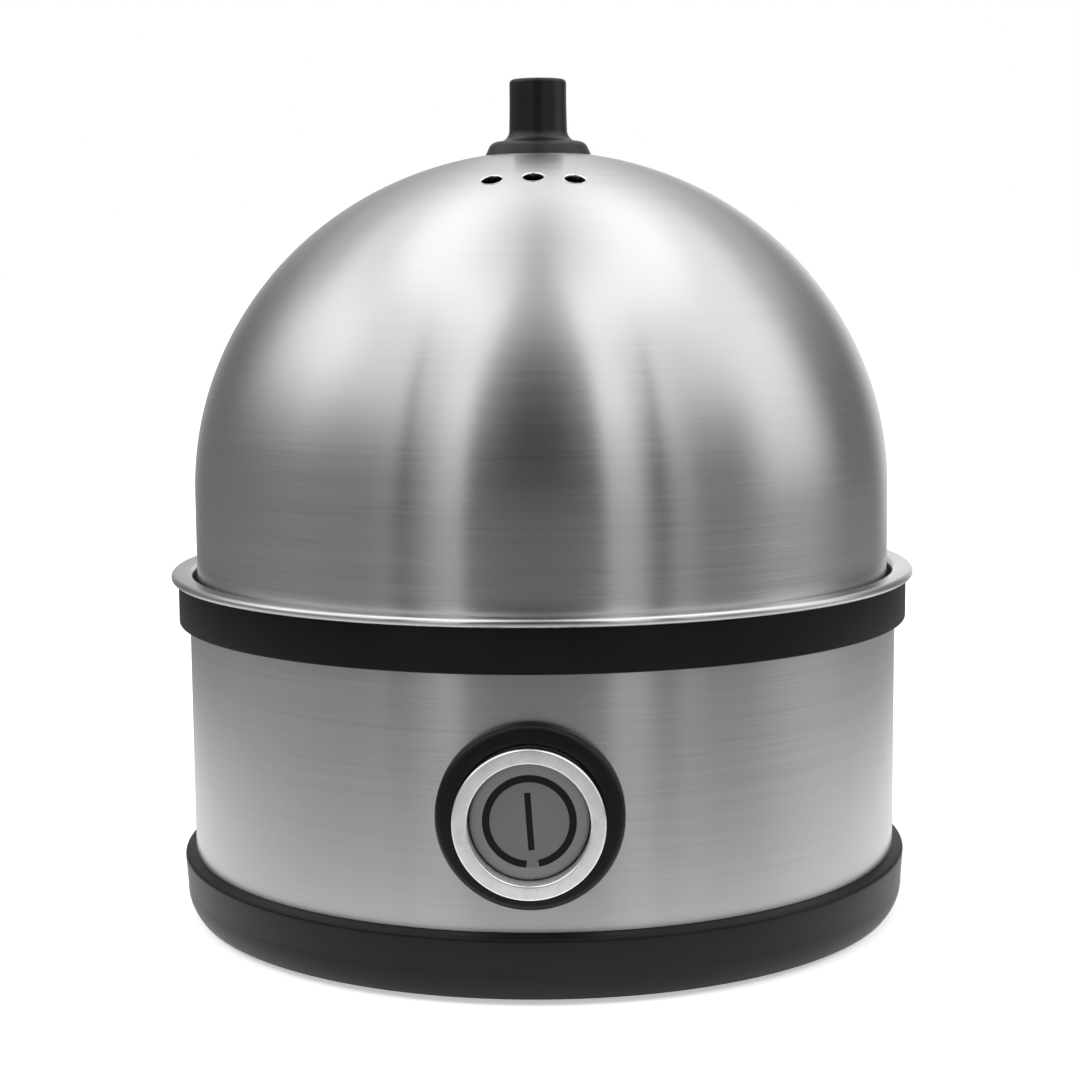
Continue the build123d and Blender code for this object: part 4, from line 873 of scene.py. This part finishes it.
class BOILER_OT_stage(bpy.types.Operator):
    """Set the floor, the studio's lights and the camera"""

    bl_idname = "boiler.stage"
    bl_label = "Studio"

    def execute(self, context):
        scene = context.scene
        scene.view_settings.view_transform = "Standard"
        self.sky(scene)
        self.floor(scene)
        self.surround(scene)
        self.lamps(scene)
        self.camera(scene)
        return {"FINISHED"}

    def sky(self, scene):
        lighting, seen = 0.85, 1.0
        world = bpy.data.worlds.new("studio")
        scene.world = world
        world.use_nodes = True
        bench = Bench(world.node_tree)
        strength = bench.seen_by("Camera", "Glossy", "Transmission").ramp(0.0, 1.0, lighting, seen)
        bench.node("OutputWorld", sockets={"Surface": bench.node(
            "Background", sockets={"Color": (1, 1, 1, 1), "Strength": strength})})

    def floor(self, scene):
        reach, brightening = 40.0, 0.45
        mesh = bmesh.new()
        bmesh.ops.create_circle(mesh, cap_ends=True, segments=96, radius=reach)
        paper = bpy.data.materials.new("paper")
        paper.use_nodes = True
        bench = Bench(paper.node_tree)
        diffuse = bench.node("BsdfDiffuse", sockets={"Color": (0.90, 0.90, 0.90, 1)})
        glow = bench.node("Emission", sockets={
            "Color": (1, 1, 1, 1),
            "Strength": bench.seen_by("Camera", "Glossy", "Transmission") * brightening})
        bench.node("OutputMaterial", sockets={
            "Surface": bench.node("AddShader", sockets={0: diffuse, 1: glow})})
        self.prop(scene, "floor", mesh, paper)

    def prop(self, scene, name, mesh, material):
        """A thing on the stage, which isn't part of the boiler."""
        data = bpy.data.meshes.new(name)
        mesh.to_mesh(data)
        mesh.free()
        data.materials.append(material)
        made = bpy.data.objects.new(name, data)
        scene.collection.objects.link(made)
        made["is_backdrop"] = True
        return made

    def lamps(self, scene):
        for name, place, size, power in (
            ("key", (-0.9, -0.7, 1.3), 0.9, 9.0), ("fill", (1.1, -0.5, 1.1), 0.9, 7.0),
        ):
            light = bpy.data.lights.new(name, "AREA")
            light.shape, light.size, light.energy = "DISK", size, power
            lamp = bpy.data.objects.new(name, light)
            lamp.location = place
            lamp.rotation_euler = (-Vector(place)).to_track_quat("-Z", "Y").to_euler()
            lamp.visible_glossy = False
            scene.collection.objects.link(lamp)

    def camera(self, scene):
        lens = bpy.data.cameras.new("camera")
        lens.lens, lens.sensor_width = 73.4, 36.0
        lens.shift_x = -0.0016
        lens.clip_start, lens.clip_end = 0.01, 100.0
        camera = bpy.data.objects.new("camera", lens)
        away, height = 0.552, 0.1602
        round_to, down, roll = radians(1.95), radians(7.1), radians(-0.5)
        camera.location = (away * sin(round_to), -away * cos(round_to), height)
        camera.rotation_euler = (
            Matrix.Rotation(round_to, 3, "Z") @ Matrix.Rotation(pi / 2 - down, 3, "X")
            @ Matrix.Rotation(roll, 3, "Z")).to_euler()
        scene.collection.objects.link(camera)
        scene.camera = camera

    def surround(self, scene):
        """The studio that the metal reflects: a dark table, dark walls low down, lit cloth above."""
        walls = bmesh.new()
        inside, reach, lift, middle = 0.115, 3.0, 0.002, 0.1
        start = walls.verts.new((inside, 0, lift))
        edge = walls.verts.new((reach, 0, lift))
        walls.edges.new((start, edge))
        bmesh.ops.spin(walls, geom=[edge], cent=(0, 0, lift), axis=(0, -1, 0), angle=pi / 2, steps=24)
        spin(walls, steps=64)
        bmesh.ops.reverse_faces(walls, faces=walls.faces[:])
        cloth = bpy.data.materials.new("surround")
        cloth.use_nodes = True
        cloth.cycles.emission_sampling = "NONE"
        bench = Bench(cloth.node_tree)
        glow = bench.node("Emission", sockets={
            "Color": (1, 1, 1, 1), "Strength": self.studio_light(bench, middle)})
        bench.node("OutputMaterial", sockets={"Surface": glow})
        tent = self.prop(scene, "surround", walls, cloth)
        tent.data.shade_smooth()
        tent.visible_camera = tent.visible_diffuse = tent.visible_shadow = False
        tent.visible_transmission = tent.visible_volume_scatter = False

    def studio_light(self, bench, middle):
        """Brightness of the studio by the direction, in degrees, in which the boiler sees it."""
        x, y, z = bench.parts(bench.place())
        rise = bench.angle(z - middle, (x * x + y * y) ** 0.5) * (180 / pi)
        side = bench.angle(x, y * -1) * (180 / pi)
        away, left, right = abs(side), side * -1, side

        # What is lit, from the table up over the cloth, and the lamps that stand in front of both.
        table = rise.ramp(-34.0, -8.0, 0.68, 0.205) \
            + away.ramp(48.0, 105.0, 0.0, 0.22) * (1 - rise.ramp(-24.0, -9.0)) \
            + right.ramp(50.0, 90.0, 0.0, 0.08) * (1 - rise.ramp(-12.0, 0.0))
        cloth = rise.ramp(13.0, 36.0, 0.0, 0.80) + rise.ramp(50.0, 62.0, 0.0, 0.70) \
            - rise.ramp(66.0, 88.0, 0.0, 0.86) \
            + left.between(42.0, 60.0, 85.0, 110.0, 0.16) * rise.between(20.0, 32.0, 42.0, 54.0) \
            + right.between(55.0, 85.0, 125.0, 150.0, 0.28) * rise.between(24.0, 40.0, 52.0, 66.0)
        window = right.ramp(135.0, 160.0, 0.0, 0.35) * rise.between(-10.0, -4.0, 4.0, 22.0)

        strips = left.between(20.5, 23.0, 26.0, 39.0) + right.between(20.5, 23.0, 31.0, 36.5) \
            + left.between(43.0, 46.0, 48.0, 54.0, 0.17) + right.between(41.0, 44.0, 48.0, 54.0, 0.43)
        strips = strips * rise.between(-13.0, -4.0, 28.0, 66.0, 0.46)
        boxes = right.between(65.0, 86.0, 94.0, 120.0) * rise.between(-6.0, 8.0, 18.0, 40.0, 0.80) \
            + left.between(66.0, 88.0, 112.0, 140.0) * rise.between(6.0, 27.0, 40.0, 60.0, 0.40)
        rear = away.ramp(125.0, 150.0, 0.0, 0.3) * rise.between(42.0, 50.0, 56.0, 70.0) \
            + away.ramp(140.0, 180.0, 0.0, 0.4) * rise.between(-12.0, -4.0, 36.0, 44.0)

        # What stands dark before it, each as the share of the light that it takes away.
        lean = rise * rise * (7.0 / 45.0 ** 2)
        stands = (1 - abs(side + 41.0 + lean).ramp(1.0, 3.0)) + (1 - abs(side - 38.5 - lean).ramp(1.0, 3.0))
        stands = stands * rise.between(-16.0, -8.0, 40.0, 58.0, 0.60)
        ahead = abs(side - rise.ramp(24.0, 50.0)) + rise.ramp(24.0, 50.0, 0.0, 2.0)
        front = rise.ramp(-12.0, 20.0, 0.16, 0.94) * (1 - rise.ramp(30.0, 95.0, 0.0, 0.72)) \
            * (ahead.ramp(19.5, 22.5, 0.76, 0.0) + ahead.ramp(5.0, 20.0, 0.24, 0.0))
        behind = (right.ramp(105.0, 125.0, 0.0, 0.4) + left.ramp(105.0, 132.0, 0.0, 0.4)) \
            * rise.between(15.0, 25.0, 36.0, 48.0)
        above = away.ramp(140.0, 175.0, 0.0, 0.3) * rise.ramp(58.0, 70.0)

        light = table + cloth + window + strips + boxes + rear
        for dark in (stands, front, behind, above):
            light = light * (1 - dark)
        return light


class BOILER_PT_sidebar(bpy.types.Panel):
    """Lists the boiler's pieces in the sidebar"""

    bl_idname = "BOILER_PT_sidebar"
    bl_label = "Egg boiler"
    bl_space_type = "VIEW_3D"
    bl_region_type = "UI"
    bl_category = "Egg boiler"

    def draw(self, context):
        for group in (context.scene.boiler_sizes, context.scene.boiler_colours):
            for name in group.__annotations__:
                self.layout.prop(group, name)
        for operator in OPERATORS:
            self.layout.operator(operator.bl_idname)


OPERATORS = (
    BOILER_OT_carried, BOILER_OT_lid, BOILER_OT_knob, BOILER_OT_tray_handle, BOILER_OT_pan,
    BOILER_OT_collar, BOILER_OT_feet, BOILER_OT_gland, BOILER_OT_cap, BOILER_OT_spring,
    BOILER_OT_bezel, BOILER_OT_chrome, BOILER_OT_stage,
)
CLASSES = (BoilerSizes, BoilerColours, *OPERATORS, BOILER_PT_sidebar)


def register():
    for cls in CLASSES:
        bpy.utils.register_class(cls)
    bpy.types.Scene.boiler_sizes = PointerProperty(type=BoilerSizes)
    bpy.types.Scene.boiler_colours = PointerProperty(type=BoilerColours)


def unregister():
    del bpy.types.Scene.boiler_colours
    del bpy.types.Scene.boiler_sizes
    for cls in reversed(CLASSES):
        bpy.utils.unregister_class(cls)


def main():
    register()
    for operator in OPERATORS:
        group, name = operator.bl_idname.split(".")
        getattr(getattr(bpy.ops, group), name)()
    [[list(corner) for corner in box] for box in (CAD_BOX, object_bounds())]


if __name__ == "__main__":
    main()
